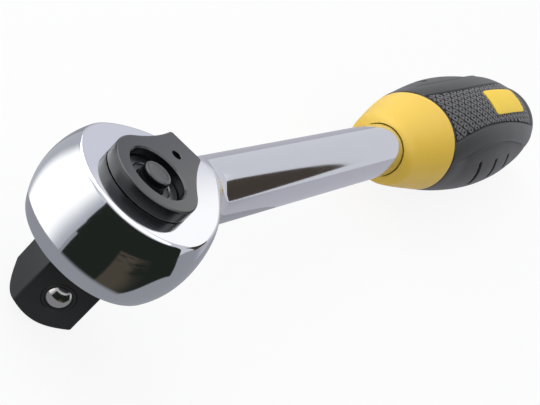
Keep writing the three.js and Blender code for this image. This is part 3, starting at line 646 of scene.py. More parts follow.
class HeadForm:
    """The barrel's section and the neck that grows out of the barrel.

    The section is an arc with rounded edges, to be turned about the drive axis. The neck is a
    Bezier flare turned about the shank, plus what the barrel has over it where the neck starts,
    which a cubic fades out along the handle.
    """

    edge_steps, side_steps, fine_steps, around_steps = 8, 46, 4000, 721

    def __init__(self, s):
        self.s = s
        self.half, self.middle = (s.top - s.bottom) / 2, (s.top + s.bottom) / 2
        self.rise = s.shank_height - self.middle
        inside, bulge = self.half - s.edge, s.radius - s.rim
        self.bow = (bulge**2 + inside**2 - s.edge**2) / (2 * (bulge - s.edge))
        self.centre = s.radius - self.bow
        self.corner = self.centre + math.sqrt(self.bow**2 - self.half**2)
        meet = math.atan2(inside, s.rim - self.centre)
        self.shoulder = (s.rim + s.edge * math.cos(meet), inside + s.edge * math.sin(meet))
        corners = [(s.rim, self.half), (self.corner, self.half), self.shoulder]
        rounding = bezier(corners, self.edge_steps)
        swing = np.linspace(meet, -meet, self.side_steps)[1:-1]
        side = np.stack([self.centre + self.bow * np.cos(swing), self.bow * np.sin(swing)], -1)
        self.profile = np.concatenate([rounding, side, rounding[::-1] * [1, -1]])

        wide, nudge = math.hypot(s.rim, s.top - s.shank_height), 0.01
        ends = [(s.neck_waist, s.shank_radius), (s.neck_end, s.shank_radius)]
        self.flare = bezier([(0, wide), (s.neck_full, wide), *ends], self.fine_steps).T
        self.around = np.linspace(-math.pi / 2, math.pi / 2, self.around_steps)
        places = s.neck_start + np.array([-nudge, 0, nudge])
        before, self.leaving, after = (self.over(place) for place in places)
        self.slope = (after - before) / (2 * nudge)

    def over(self, x):
        """How far the barrel stands over the flare at a place, in each direction round the shank."""
        low, high = np.zeros_like(self.around), np.full_like(self.around, 2 * self.s.radius)
        for _ in range(HALVINGS):
            mid = (low + high) / 2
            across = np.hypot(x, mid * np.cos(self.around)) - self.centre
            outside = np.hypot(across, self.rise + mid * np.sin(self.around)) > self.bow
            low, high = np.where(outside, low, mid), np.where(outside, mid, high)
        return low - np.interp(x, *self.flare)

    def neck(self, x, phi):
        """The neck's radius at a place along the shank and an angle round it."""
        s = self.s
        t = np.clip((x - s.neck_start) / s.neck_blend, 0, 1)
        first, lean = (np.interp(phi, self.around, part) for part in (self.leaving, self.slope))
        fading = (1 + 2 * t) * (1 - t) ** 2 * first + t * (1 - t) ** 2 * s.neck_blend * lean
        return np.interp(x, *self.flare) + fading

    def cut(self, places, level, sign):
        """The angles where the neck's sections meet a flat, and the rounding there."""
        closed = math.pi / 2 - 1e-5
        low, high = np.zeros_like(places), np.full_like(places, math.pi / 2)
        for _ in range(HALVINGS):
            mid = (low + high) / 2
            outside = self.neck(places, sign * mid) * np.sin(mid) > level
            low, high = np.where(outside, low, mid), np.where(outside, mid, high)
        reach = self.neck(places, sign * high)
        width = np.where(high > closed, 0, reach * np.cos(high))
        run = (self.corner - self.s.rim) * np.hypot(1, np.gradient(width, places))
        inset = np.minimum(run, width / 2)
        drop = math.dist((self.corner, self.half), self.shoulder) * inset / run
        phi = sign * (high - drop / reach)
        ends = [
            np.stack([width - inset, sign * reach * np.sin(high)], -1),
            np.stack([width, sign * reach * np.sin(high)], -1),
            self.neck(places, phi)[:, None] * np.stack([np.cos(phi), np.sin(phi)], -1),
        ]
        weights = bernstein(2, np.linspace(0, 1, self.edge_steps)[:, None])
        return phi, sum(weight * end[:, None] for weight, end in zip(weights, ends))


def barrel_grid(form):
    """The barrel's section carried round the drive axis, from one side of the neck to the other."""
    round_steps = 260
    radius, height = form.profile.T
    start = np.arccos(form.s.neck_start / radius)
    theta = start + np.linspace(0, 1, round_steps)[:, None] * (2 * math.pi - 2 * start)
    level = np.broadcast_to(form.middle + height, theta.shape)
    return np.stack([radius * np.cos(theta), radius * np.sin(theta), level], -1)


def handle_grid(form, barrel):
    """One side of the neck, shank and tang, as half sections along the handle cut by the flats.

    The sections draw together where each flat runs out; the rows of those two places, the lower
    one first, come with the grid.
    """
    s = form.s
    tip_steps, neck_steps, shank_steps = 34, 10, 40
    above, below = form.half - form.rise, form.half + form.rise
    fine = np.linspace(s.neck_start, s.neck_end, form.fine_steps + 1)
    top_tip = np.interp(-above, -form.neck(fine, math.pi / 2), fine)
    bottom_tip = np.interp(-below, -form.neck(fine, -math.pi / 2), fine)
    closing = 1 - np.linspace(1, 0, tip_steps) ** 2
    stations = np.concatenate([
        s.neck_start + (bottom_tip - s.neck_start) * closing,
        bottom_tip + (top_tip - bottom_tip) * closing[1:],
        np.linspace(top_tip, s.neck_end, neck_steps)[1:],
        np.linspace(s.neck_end, s.shank_end, shank_steps)[1:],
    ])
    top_phi, top_edge = form.cut(stations, above, 1)
    low_phi, low_edge = form.cut(stations, below, -1)
    flank = barrel[0, form.edge_steps - 1:1 - form.edge_steps]
    sweep = np.arctan2(flank[:, 2] - s.shank_height, flank[:, 1])
    spread = (sweep - sweep[0]) / (sweep[-1] - sweep[0])
    phi = top_phi[:, None] + (low_phi - top_phi)[:, None] * spread
    reach = form.neck(stations[:, None], phi)[..., None]
    wall = reach * np.stack([np.cos(phi), np.sin(phi)], -1)
    strip = np.concatenate([top_edge, wall[:, 1:-1], low_edge[:, ::-1]], 1)
    strip[0] = barrel[0, :, 1:] - [0, s.shank_height]

    tang = strip[-1] * s.tang_radius / s.shank_radius
    tang[:, 0] = np.clip(tang[:, 0], 0, s.tang_half)
    strip = np.concatenate([strip, tang[None], tang[None], 0 * tang[None]])
    places = np.concatenate([stations, [s.shank_end, s.tang_end, s.tang_end]])
    along = np.broadcast_to(places[:, None], strip.shape[:2])
    grid = np.stack([along, strip[..., 0], s.shank_height + strip[..., 1]], -1)
    return grid, tip_steps - 1, 2 * tip_steps - 2


def head_skin(s):
    """The forging: barrel, both sides of the handle, and rings from the flats into the bores.

    The rings run from the upper flat's outline straight to the hub's hole, down through the room
    of the toothed wheel with the pawl's round pocket, and out to the lower flat's outline.
    """
    form = HeadForm(s)
    barrel = barrel_grid(form)
    right, low_tip, high_tip = handle_grid(form, barrel)
    left = right * [1, -1, 1]
    rows = np.arange(1, high_tip + 1)
    low_rows = np.minimum(rows, low_tip)
    tops = np.concatenate([barrel[:, 0], left[rows, 0], right[rows[-2::-1], 0]])
    lows = np.concatenate([barrel[:, -1], left[low_rows, -1], right[low_rows[-2::-1], -1]])
    facing = np.arctan2(tops[:, 1], tops[:, 0])

    def circle(radius, level):
        flat = [radius * np.cos(facing), radius * np.sin(facing), level + 0 * facing]
        return np.stack(flat, -1)

    pocket_x = s.pocket_at + s.pocket_radius * math.cos(s.pocket_span)
    limit = math.atan2(s.pocket_radius * math.sin(s.pocket_span), pocket_x)
    pocket = s.pocket_at * np.cos(facing)
    pocket += np.sqrt(s.pocket_radius**2 - (s.pocket_at * np.sin(facing)) ** 2)
    room = np.where(np.abs(facing) < limit, pocket, s.gear_bore)
    inner = circle(s.hub_bore + s.hub_edge, s.top)
    mouth = circle(s.counterbore + s.mouth_edge, s.bottom)
    top_shares, low_shares = (0.01, 0.34, 0.67), (0.5, 0.98)
    rings = [
        tops, *(tops + (inner - tops) * share for share in top_shares), inner,
        circle(s.hub_bore, s.top - s.hub_edge), circle(s.hub_bore, s.roof),
        circle(room, s.roof), circle(room, s.ledge), circle(s.counterbore, s.ledge),
        circle(s.counterbore, s.bottom + s.mouth_edge), mouth,
        *(mouth + (lows - mouth) * share for share in low_shares), lows,
    ]
    skin = Skin().grid(barrel, loop=False).grid(np.stack(rings))
    return skin.grid(right, loop=False).grid(left, loop=False)


def square_reach(s, phi):
    """The square's radius: half its width over the cosine from the nearest flat, corners round."""
    fold = np.abs((phi + math.pi / 4) % (math.pi / 2) - math.pi / 4)
    inner = s.half - s.corner
    lean, away = math.pi / 4 - fold, inner * math.sqrt(2)
    arc = np.sqrt(np.maximum(s.corner**2 - (away * np.sin(lean)) ** 2, 0))
    rounded = s.half * np.tan(fold) > inner
    return np.where(rounded, away * np.cos(lean) + arc, s.half / np.cos(fold))


def ball_seat(s, outer, inner):
    """Rings from a flat's border over the staked mouth and down the ball's hole to the pin's hole."""
    ray = outer[:, 1:] - [0, s.ball_height]
    ray = ray / np.linalg.norm(ray, axis=1, keepdims=True)

    def ring(size, depth):
        return np.c_[np.full(len(ray), depth - s.half), ray * size + [0, s.ball_height]]

    mouth, bore = s.ball_mouth, s.ball_bore
    groove, groove_half, groove_depth = mouth + 0.7, 0.08, 0.1
    lip, lip_middle, lip_drop, lip_depth = mouth + 0.16, mouth + 0.05, 0.03, 0.12
    bore_low, bore_high = 0.4, 2.3
    return np.stack([
        outer, ring(groove + groove_half, 0), ring(groove, groove_depth),
        ring(groove - groove_half, 0), ring(lip, 0), ring(lip_middle, lip_drop),
        ring(mouth, lip_depth), ring(bore, bore_low), ring(bore, bore_high), inner,
    ])


class DriveRows:
    """Rows of radius and height over the angles round the drive's axis."""

    def __init__(self, phi):
        self.phi, self.rows = phi, []

    def add(self, radius, height):
        """One row; a plain number is the same all round."""
        self.rows.append((radius + 0 * self.phi, height + 0 * self.phi))

    def add_round(self, *ends):
        """Rows along a Bezier curve from the first end to the last, drawn to the middle one."""
        for t in np.linspace(0, 1, 5):
            weights = bernstein(2, t)
            self.add(*(sum(w * end[k] for w, end in zip(weights, ends)) for k in (0, 1)))


def drive_tip(s, square, rows):
    """The turned tip: the end face, a cone that meets each corner, and rounded edges between."""
    flat_edge, cone_edge, wall_edge = 0.2, 0.12, 0.2
    cone_low, cone_high, corner_edge = 0.1, 0.2, 0.14
    face = s.half - s.tip_inset
    slope = s.tip_rise / (s.half * math.sqrt(2) - face)
    lift = (square - face) * slope
    cone_start, cone_end = face + cone_edge, square - cone_high
    rows.add(0, 0)
    rows.add(face / 2, 0)
    rows.add_round((face - flat_edge, 0), (face, 0), (cone_start, cone_edge * slope))
    for t in (0.3, 0.6, 0.85):
        level = (lift - (cone_low + cone_high) * slope) * t + cone_low * slope
        rows.add(cone_start + (cone_end - cone_start) * t, level)
    corner_start = (square - corner_edge, lift - corner_edge * slope)
    rows.add_round(corner_start, (square, lift), (square, lift + wall_edge))
    return lift + wall_edge


def drive_skin(s):
    """The drive as rows of radius and height over the angle round its axis.

    A cone turns the square's tip, a triangle wave makes the teeth, and a round tube through one
    flat joins the outside to the pin's hole for the ball.
    """
    teeth, per_tooth, flank_share, wall_rows = 60, 8, 0.4, 33
    columns = teeth * per_tooth
    phi = np.arange(columns) * 2 * math.pi / columns
    square = square_reach(s, phi)
    wave = (np.arange(columns) % per_tooth) / per_tooth
    crest = np.clip(np.minimum(wave, 1 - wave) / flank_share, 0, 1)
    tooth = s.gear_radius - s.tooth_depth * (1 - crest)

    rows = DriveRows(phi)
    wall_low = drive_tip(s, square, rows)
    wall_start = len(rows.rows) - 1
    for t in np.linspace(0, 1, wall_rows)[1:]:
        rows.add(square, wall_low + (s.square_end - s.root - wall_low) * t)
    shoulder = np.minimum(square + s.root, s.journal - s.edge)
    root_start = (square, s.square_end - s.root)
    rows.add_round(root_start, (square, s.square_end), (shoulder, s.square_end))
    outside = [
        (s.journal - s.edge, s.square_end), (s.journal, s.square_end + s.edge),
        (s.journal, s.gear_low), (tooth - s.tooth_edge, s.gear_low),
        (tooth, s.gear_low + s.tooth_edge), (tooth, s.gear_high - s.tooth_edge),
        (tooth - s.tooth_edge, s.gear_high), (s.upper_journal, s.gear_high),
        (s.upper_journal, s.top - s.mouth_edge), (s.upper_journal - s.mouth_edge, s.top),
        (s.spring_pocket + s.mouth_edge, s.top), (s.spring_pocket, s.top - s.mouth_edge),
        (s.spring_pocket, s.spring_floor),
    ]
    for radius, height in outside:
        rows.add(radius, height)
    bore_start = len(rows.rows)

    play, step, below, above = 0.06, 0.3, 3.9, 3.7
    reach, wide = s.ball_bore + play, columns // 11
    left, right = columns // 2 - wide, columns // 2 + wide
    wall = rows.rows[wall_start:wall_start + wall_rows]
    column = np.array([height[columns // 2] for _, height in wall])
    block_low = wall_start + int(np.searchsorted(column, s.ball_height - below))
    block_high = wall_start + int(np.searchsorted(column, s.ball_height + above))
    tall = block_high - block_low
    high, low = s.ball_height + reach, s.ball_height - reach
    entry = [(s.pin_bore, s.spring_floor), (s.pin_bore, high + step), (s.chamber, high + step)]
    chamber = [(s.chamber, level) for level in np.linspace(high, low, tall + 1)]
    foot = [
        (s.chamber, low - step), (s.pin_bore, low - step), (s.pin_bore, s.bore_floor),
        (0, s.bore_floor),
    ]
    for radius, height in entry + chamber + foot:
        rows.add(radius, height)
    chamber_start = bore_start + len(entry)

    radius, height = (np.stack(part) for part in zip(*rows.rows))
    opened = math.asin(reach / s.chamber)
    marks = [0, left, right, columns]
    aims = [0, math.pi - opened, math.pi + opened, 2 * math.pi]
    bore_phi = np.interp(np.arange(columns), marks, aims)
    angles = np.where(np.arange(len(radius))[:, None] >= bore_start, bore_phi, phi)
    surface = np.stack([radius * np.cos(angles), radius * np.sin(angles), height], -1)

    outer_block = (block_low, block_high, left, right)
    inner_block = (chamber_start, chamber_start + tall, left, right)
    flipped = surface[chamber_start:chamber_start + tall + 1][::-1]
    tube = ball_seat(s, border(surface, outer_block), border(flipped, (0, tall, left, right)))
    skin = Skin().grid(surface, skip=[outer_block, inner_block]).grid(tube)
    skin.points = [turned(points, s.turn) for points in skin.points]
    return skin


def ball_skin(s):
    """A sphere round its own centre, as half circles turned about its upright axis."""
    rows, columns = 40, 64
    swing = np.linspace(-math.pi / 2, math.pi / 2, rows)
    profile = np.stack([s.ball_radius * np.cos(swing), s.ball_radius * np.sin(swing)], -1)
    centre = [-s.ball_out, 0, s.ball_height]
    return Skin().grid(turned(lathe(profile, columns) + centre, s.turn))


def button_skin(s):
    """A turned button: flange, neck, rounded crown and a shallow dish on top."""
    low, high = BUTTON_LOW[2], BUTTON_HIGH[2]
    shelf, socket_top = low + s.flange_height, low + s.socket_depth
    side, flange, edge, hold = s.button, s.button_flange, s.edge, 0.05
    rim, bend, bend_depth, dish_depth = side - 0.75, side - 1, 0.12, 0.14
    crown = bezier([(side, high - s.crown), (side, high), (side - s.crown, high)], 8)
    dish = bezier([(rim, high), (bend, high - bend_depth), (0, high - dish_depth)], 10)
    profile = [
        (0, socket_top), (s.button_socket, socket_top), (s.button_socket, low),
        (flange - edge, low), (flange, low + edge), (flange, shelf - edge), (flange - edge, shelf),
        (side, shelf), (side, shelf + 2 * hold), (side, high - s.crown - hold), *crown,
        (side - s.crown - hold, high), *dish,
    ]
    return Skin().grid(lathe(profile))


def ring_profile(inner, outer, low, high, edge):
    """A ring's section with its four edges cut, as a closed list of radius and height."""
    return [
        (inner + edge, low), (outer - edge, low), (outer, low + edge), (outer, high - edge),
        (outer - edge, high), (inner + edge, high), (inner, high - edge), (inner, low + edge),
        (inner + edge, low),
    ]


def open_ring_skin(inner, outer, low, high, opening, turn=0.0):
    """A ring section carried round the axis from one side of an opening to the other, with ends."""
    edge, steps = 0.15, 121
    section = np.array(ring_profile(inner, outer, low, high, edge)[:-1])
    half = math.asin(opening / 2 / outer)
    swing = np.linspace(half, 2 * math.pi - half, steps)[:, None]
    radius, height = section[:, 0], section[:, 1] + 0 * swing
    body = np.stack([radius * np.cos(swing), radius * np.sin(swing), height], -1)
    ends = [np.broadcast_to(body[k].mean(0), body[k].shape) for k in (0, -1)]
    return Skin().grid(turned(np.concatenate([ends[:1], body, ends[1:]]), turn))


def lever_skin(s):
    """The lever as rings between its well and its outline.

    The outline is a disc that two hollow Bezier flanks draw out to a tail. Insets of it round the
    edges, straight blends to the well's circle fill the top, and a block of those cells makes way
    for the dimple.
    """
    disc_steps, flank_steps, corner_steps, tail_steps = 150, 40, 9, 41
    top_steps, edge_steps = 25, 8
    leave, taper = s.flank, math.tan(s.taper)
    start = np.array([s.disc * math.cos(leave), s.disc * math.sin(leave)])
    fall = 1 / math.tan(leave)
    bend = (start[1] - s.tail_half + fall * start[0] - taper * s.tail) / (fall - taper)
    hollow = s.tail_half + taper * (s.tail - bend)
    end, flank_end = s.tail - s.tail_corner, s.tail_half + taper * s.tail_corner
    swing = np.linspace(leave, 2 * math.pi - leave, disc_steps)
    disc = s.disc * np.stack([np.cos(swing), np.sin(swing)], -1)
    flank = bezier([start * [1, -1], (bend, -hollow), (end, -flank_end)], flank_steps)
    tip = s.tail_half - s.tail_corner
    corner = bezier([(end, -flank_end), (s.tail, -s.tail_half), (s.tail, -tip)], corner_steps)
    tail = np.stack([np.full(tail_steps, s.tail), np.linspace(-tip, tip, tail_steps)], -1)
    mirror = [1, -1]
    outline = np.concatenate([
        disc[:-1], flank[:-1], corner[:-1], tail[:-1], (corner * mirror)[:0:-1],
        (flank * mirror)[:0:-1],
    ])
    along = np.roll(outline, -1, 0) - np.roll(outline, 1, 0)
    out = np.stack([along[:, 1], -along[:, 0]], -1)
    out /= np.linalg.norm(out, axis=1, keepdims=True)
    facing = np.arctan2(outline[:, 1], outline[:, 0])

    def inset(depth, level):
        return np.c_[outline - depth * out, np.full(len(outline), level)]

    def circle(radius, level):
        flat = [radius * np.cos(facing), radius * np.sin(facing), np.full(len(facing), level)]
        return np.stack(flat, -1)

    mouth, rim = circle(s.well + s.well_edge, s.high), inset(s.edge, s.high)
    last_share = 0.995
    top = [mouth + (rim - mouth) * share for share in np.linspace(0, 1, top_steps)]
    top.insert(-1, mouth + (rim - mouth) * last_share)
    bends = np.linspace(0, math.pi / 2, edge_steps)
    crown = [
        inset(s.edge * (1 - math.sin(a)), s.high - s.edge * (1 - math.cos(a)))
        for a in bends[1:]
    ]
    foot = [
        inset(s.foot * (1 - math.cos(a)), s.low + s.foot * (1 - math.sin(a)))
        for a in bends
    ]
    well = [circle(s.well, s.hub_end), circle(s.well, s.high - s.well_edge)]
    hub = [circle(s.hub, s.low), circle(s.hub, s.hub_end), circle(s.well, s.hub_end)]
    surface = np.stack([*well, *top, *crown, *foot, *hub])
    tail_middle = disc_steps + flank_steps + corner_steps - 3 + tail_steps // 2
    first_row, last_row, half_width = len(well) + 7, len(well) + 15, 15
    block = (first_row, last_row, tail_middle - half_width, tail_middle + half_width)
    outer = border(surface, block)
    ray = outer[:, :2] - [s.dimple_at, 0]
    ray /= np.linalg.norm(ray, axis=1, keepdims=True)

    def ring(size, depth):
        return np.c_[ray * size + [s.dimple_at, 0], np.full(len(ray), s.high - depth)]

    hold, chamfer, chamfer_depth, draft, drill_tip = 0.16, 0.12, 0.1, 0.96, 0.25
    hole = [
        outer, ring(s.dimple + hold, 0), ring(s.dimple + chamfer, 0), ring(s.dimple, chamfer_depth),
        ring(s.dimple * draft, s.dimple_depth), ring(0, s.dimple_depth + drill_tip),
    ]
    skin = Skin().grid(surface, skip=[block]).grid(np.stack(hole))
    skin.points = [turned(points, s.turn) for points in skin.points]
    return skin


class GripForm:
    """The grip's profile and the way it is carried round the handle.

    Three cubics give the radius along the grip. A point at an angle round the axis is pressed oval,
    lifted behind the collar, swung fore and aft along the joint and turned with the grip.
    """

    def __init__(self, s):
        self.s = s
        fore, aft, last = s.belly_at / 3, (s.tail_at - s.belly_at) / 3, s.end - s.tail_at
        shoulder = (fore, s.mouth + s.collar_slope * fore)
        hip = (s.tail_at - aft, s.tail + s.tail_slope * aft)
        steps, lean_share = 400, 0.55
        lean = (s.tail_at + lean_share * last, s.tail - s.tail_slope * lean_share * last)
        belly, tail = (s.belly_at, s.belly), (s.tail_at, s.tail)
        curves = [
            bezier([(s.mouth_edge, s.mouth), shoulder, (s.belly_at - fore, s.belly), belly], steps),
            bezier([belly, (s.belly_at + aft, s.belly), hip, tail], steps),
            bezier([tail, lean, (s.end, s.tail / 2), (s.end, 0)], steps),
        ]
        path = np.concatenate([curves[0], curves[1][1:], curves[2][1:]])
        step = np.gradient(path, axis=0)
        normal = np.stack([-step[:, 1], step[:, 0]], -1)
        self.path = path
        self.normal = normal / np.linalg.norm(normal, axis=1, keepdims=True)
        self.arc = np.concatenate([[0], np.cumsum(np.hypot(*np.diff(path, axis=0).T))])

    def arc_at(self, x):
        """Distance along the profile at a place along the grip."""
        return np.interp(x, self.path[:, 0], self.arc)

    def at(self, arc, depth=0.0):
        """Place and radius at a distance along the profile, moved in by a depth."""
        parts = [np.interp(arc, self.arc, column) for column in (*self.path.T, *self.normal.T)]
        return parts[0] - depth * parts[2], parts[1] - depth * parts[3]

    def radius_at(self, x):
        """Radius at a place along the grip."""
        return self.at(self.arc_at(x))[1]

    def carry(self, x, radius, theta, oval=None, swing=1.0):
        """The point at a place, radius and angle round the grip, in the part's frame."""
        s = self.s
        oval = s.oval if oval is None else oval
        share = np.sin(math.pi * np.clip(x / (2 * s.collar), 0, 1)) ** 2
        wave = swing * s.wave * np.cos(2 * theta) * share
        y = radius * np.cos(theta) * oval
        z = radius * np.sin(theta) / oval + swing * s.rise * ease(0, s.collar, x)
        cos, sin = math.cos(s.turn), math.sin(s.turn)
        flat = [s.front + x - wave, y * cos - z * sin, s.height + y * sin + z * cos]
        return np.stack(np.broadcast_arrays(*flat), -1)

    def lay(self, x, across, rise):
        """The point at a place, a distance across from the panel's middle, and a rise."""
        theta = math.pi / 2 - across / self.radius_at(x)
        return self.carry(*self.at(self.arc_at(x), -rise), theta)


PANEL_BORDER, CREASE_WIDTH = 2.0, 1.1  # degrees round the grip


def dip(x, at, low, fore, aft):
    """A curve that is lowest at one place and rises with the square of the distance from it."""
    return low + np.where(x < at, fore, aft) * (x - at) ** 2


def panel_half(x):
    """Half the patterned panel's angle at a place along the grip, in degrees."""
    widest = 46
    return np.minimum(dip(x, at=57, low=21.5, fore=0.011, aft=0.0042), widest)


def crease_angle(x):
    """Angle from the panel's middle to the crease at a place along the grip, in degrees."""
    nearest, farthest = panel_half(x) + 8, 100
    return np.clip(dip(x, at=58, low=40.5, fore=0.02, aft=0.0096), nearest, farthest)


def collar_skin(s):
    """The yellow core: its bore on the shank, flared mouth, collar and the heart in the rubber."""
    columns, mouth_steps, side_steps, edge_steps, heart_steps = 180, 14, 40, 7, 30
    lip_depth, lip_width, edge_round, heart_start = 0.1, 0.12, 0.35, 1
    lean_along, lean_out = 0.25, 0.55
    form = GripForm(s)
    joint, inset = form.arc_at(s.collar), s.wall + s.gap
    edge, round_arc = joint - s.gap, form.arc_at(s.mouth_round)
    theta = np.linspace(0, 2 * math.pi, columns, endpoint=False)
    lip_end, round_end = (0, s.mouth_bore + lip_width), np.array(form.at(round_arc))
    bore = [
        (s.seat_depth, 0), (s.seat_depth, s.seat), (s.mouth_depth, s.seat),
        (lip_depth, s.mouth_bore), lip_end,
    ]
    lean_radius = s.mouth_bore + lean_out * (round_end[1] - s.mouth_bore)
    mouth = bezier([lip_end, (lean_along * round_end[0], lean_radius), round_end], mouth_steps)[1:]
    side = np.stack(form.at(np.linspace(round_arc, edge - edge_round, side_steps)), -1)[1:]
    corner = bezier([side[-1], form.at(edge), form.at(edge, edge_round)], edge_steps)[1:]
    heart_arc = np.linspace(joint + heart_start, form.arc[-1], heart_steps)
    heart = np.stack(form.at(heart_arc, inset), -1)
    heart[-1, 1] = 0
    inside = form.carry(*np.array(bore).T[:, :, None], theta, oval=1.0, swing=0.0)
    pressed = 1 + (s.oval - 1) * ease(0, 1, np.linspace(0, 1, mouth_steps)[1:, None])
    rounded = form.carry(*mouth.T[:, :, None], theta, oval=pressed)
    outside = np.concatenate([side, corner, [form.at(edge, inset)], heart])
    outside = form.carry(*outside.T[:, :, None], theta)
    return Skin().grid(np.concatenate([inside, rounded, outside]))


def slot_places(s):
    """The finger slots' places along the grip."""
    slots = 3
    return s.slot_at + s.slot_pitch * np.arange(slots)


def sleeve_rows(form):
    """Distances along the profile for the sleeve's rows, close together at its lip and its slots."""
    s = form.s
    room, slot_rows, row_gap, lip_rows = 2.6, 40, 0.6, 5
    joint, end = form.arc_at(s.collar), form.arc[-1]
    near_slot = np.linspace(-room, room, slot_rows)
    fine = [form.arc_at(place + near_slot) for place in slot_places(s)]
    k = np.arange(lip_rows + 1)
    front = joint + s.lip * k * (k + 1) / (lip_rows * (lip_rows + 1))
    arc = np.concatenate([front, np.arange(joint, end, row_gap), [end], *fine])
    return np.unique(np.round(arc, 3))


def inside_slots(s, place, away):
    """One inside the finger slots and zero outside, with soft walls and round ends."""
    top, soft, lean, wall_in, wall_out = 62, 1, 0.11, 0.3, 0.05
    half, upper, lower = s.slot_width / 2, top - soft, top + soft
    within = 0
    for k, slot_place in enumerate(slot_places(s)):
        reach = math.degrees((s.slot_length - s.slot_shrink * k) / s.belly)
        middle = slot_place + lean * (away - top - reach / 2)
        slot = 1 - ease(half - wall_in, half + wall_out, np.abs(place - middle))
        within += slot * ease(upper, lower, away) * (1 - ease(upper + reach, lower + reach, away))
    return within


def sleeve_depth(form, arc, away):
    """How deep the rubber lies under the profile, and how deep it is for its painted shade."""
    s = form.s
    tail_run, panel_gap, heel_radius = 8, 0.6, 4
    crease_near, crease_full, fade_from, fade_to = 2, 12, 84, 106
    x, radius = (part[:, None] for part in form.at(arc))
    panel, crease = panel_half(x), crease_angle(x)
    panel_end, crease_end = panel + PANEL_BORDER, crease + CREASE_WIDTH
    tail_fade = 1 - ease(s.tail_at - tail_run, s.tail_at, x)
    panel_in = ease(s.collar + panel_gap, s.collar + 2 * panel_gap, x)
    sunk = s.panel * (1 - ease(panel, panel_end, away)) * tail_fade * panel_in
    flank = np.clip((away - panel_end) / (crease - panel_end), 0, 1)
    depth = sunk - s.swell * np.sin(math.pi * flank) * tail_fade
    fade = ease(s.collar + crease_near, s.collar + crease_full, x)
    fade = fade * (1 - ease(fade_from, fade_to, x))
    back_from, back_to = crease + 6, crease + 50
    beyond = ease(crease, crease_end, away) * (1 - ease(back_from, back_to, away))
    ridge = np.exp(-(((away - crease) / CREASE_WIDTH) ** 2))
    depth = depth + (s.crease * beyond - s.ridge * ridge) * fade
    within = inside_slots(s, x, away)
    lip = np.clip(1 - (arc - form.arc_at(s.collar)) / s.lip, 0, 1)[:, None]
    depth = depth + s.slot_depth * within + s.lip * (1 - np.sqrt(1 - lip**2))
    return depth * np.clip(radius / heel_radius, 0, 1), sunk + s.panel * within


def sleeve_skin(s):
    """The rubber sleeve: the profile's distance by the angle from the panel's middle.

    Columns follow the panel's border and the crease. The panel is sunk, the side beyond the crease
    steps down and eases back, and three slots are pressed into each side.
    """
    form = GripForm(s)
    arc, lining_rows = sleeve_rows(form), 30
    x = form.at(arc)[0]
    panel, crease = panel_half(x), crease_angle(x)
    marks = [0 * x, panel, panel + PANEL_BORDER, crease, crease + CREASE_WIDTH, 180 + 0 * x]
    counts = [14, 4, 12, 4, 66]
    parts = [
        low[:, None] + (high - low)[:, None] * np.linspace(0, 1, count, endpoint=False)
        for low, high, count in zip(marks, marks[1:], counts)
    ]
    away = np.concatenate([*parts, marks[-1][:, None]], 1)
    depth, sunk = sleeve_depth(form, arc, away)
    # painted shade on the sunk panel's floor and in the finger slots
    tone = np.clip(sunk / s.panel, 0, 1)

    turn = np.radians(90 - np.concatenate([away, -away[:, -2:0:-1]], 1))
    depth, tone = (np.concatenate([part, part[:, -2:0:-1]], 1) for part in (depth, tone))
    outside = form.carry(*form.at(arc[:, None], depth), turn)
    lining_arc = np.linspace(form.arc[-1], form.arc_at(s.collar), lining_rows)
    lining = np.stack(form.at(lining_arc, s.wall), -1)
    lining[0, 1] = 0
    inside = form.carry(*lining.T[:, :, None], turn[:1])
    tone = np.concatenate([np.zeros(inside.shape[:2]), tone])
    return Skin().grid(np.concatenate([inside, outside]), tone=tone)


def pads_skin(s):
    """Hollow diamond pads on the panel: rounded rhombi on a staggered lattice, cut at its border."""
    form = GripForm(s)
    columns, side_rows, around, power = 40, 12, 16, 1.7
    column, row = np.meshgrid(
        np.arange(-1, columns), np.arange(-side_rows, side_rows + 1), indexing="ij"
    )
    first, last, border_room, cut_share, lap_along, lap_across = 1.6, 6, 0.25, 0.35, 1, 0.8
    x, t = s.collar + first + s.pad_pitch * (column + 0.5 * (row % 2)), s.pad_row * row
    reach = np.radians(panel_half(x)) * form.radius_at(x) - border_room
    half = s.badge_length / 2
    hidden = np.abs(x - s.badge_at - half) < half - lap_along
    hidden = hidden & (np.abs(t) < s.badge_width / 2 - lap_across)
    keep = (np.abs(t) < reach + cut_share * s.pad_row) & ~hidden & (x < s.tail_at - last)
    x, t = x[keep][:, None, None], t[keep][:, None, None]

    round_x, round_t = rounded_square(around, power)
    sunk, hollow = 0.15, 0.3
    floor, top = -s.panel - sunk, s.pad_height - s.panel
    levels = [
        (0, floor), (0.84, floor), (0.82, top - 0.12), (0.77, top - 0.02), (0.72, top),
        (0.33, top), (0.28, top - 0.05), (0.24, top - hollow), (0, top - hollow),
    ]
    size, height = (part[:, None] for part in np.array(levels).T)
    nearest, farthest, border_gap, fade_from, fade_to = 1.3, 4, 0.15, 16, 5
    place = x + s.pad_pitch / 2 * size * round_x
    place = np.clip(place, s.collar + nearest, s.tail_at - farthest)
    limit = np.radians(panel_half(place)) * form.radius_at(place) - border_gap
    across = np.clip(t + s.pad_row * size * round_t, -limit, limit)
    fade = 1 - ease(s.tail_at - fade_from, s.tail_at - fade_to, place)
    points = form.lay(place, across, floor + (height - floor) * fade)
    skin = Skin()
    # painted shade on the pads' floors and in their hollows, darker the further below their tops
    shade_from, shade_run = 0.03, 0.15
    tone = np.clip((top - height - shade_from) / shade_run, 0, 1)
    for pad in points:
        skin.grid(pad, tone=tone)
    return skin


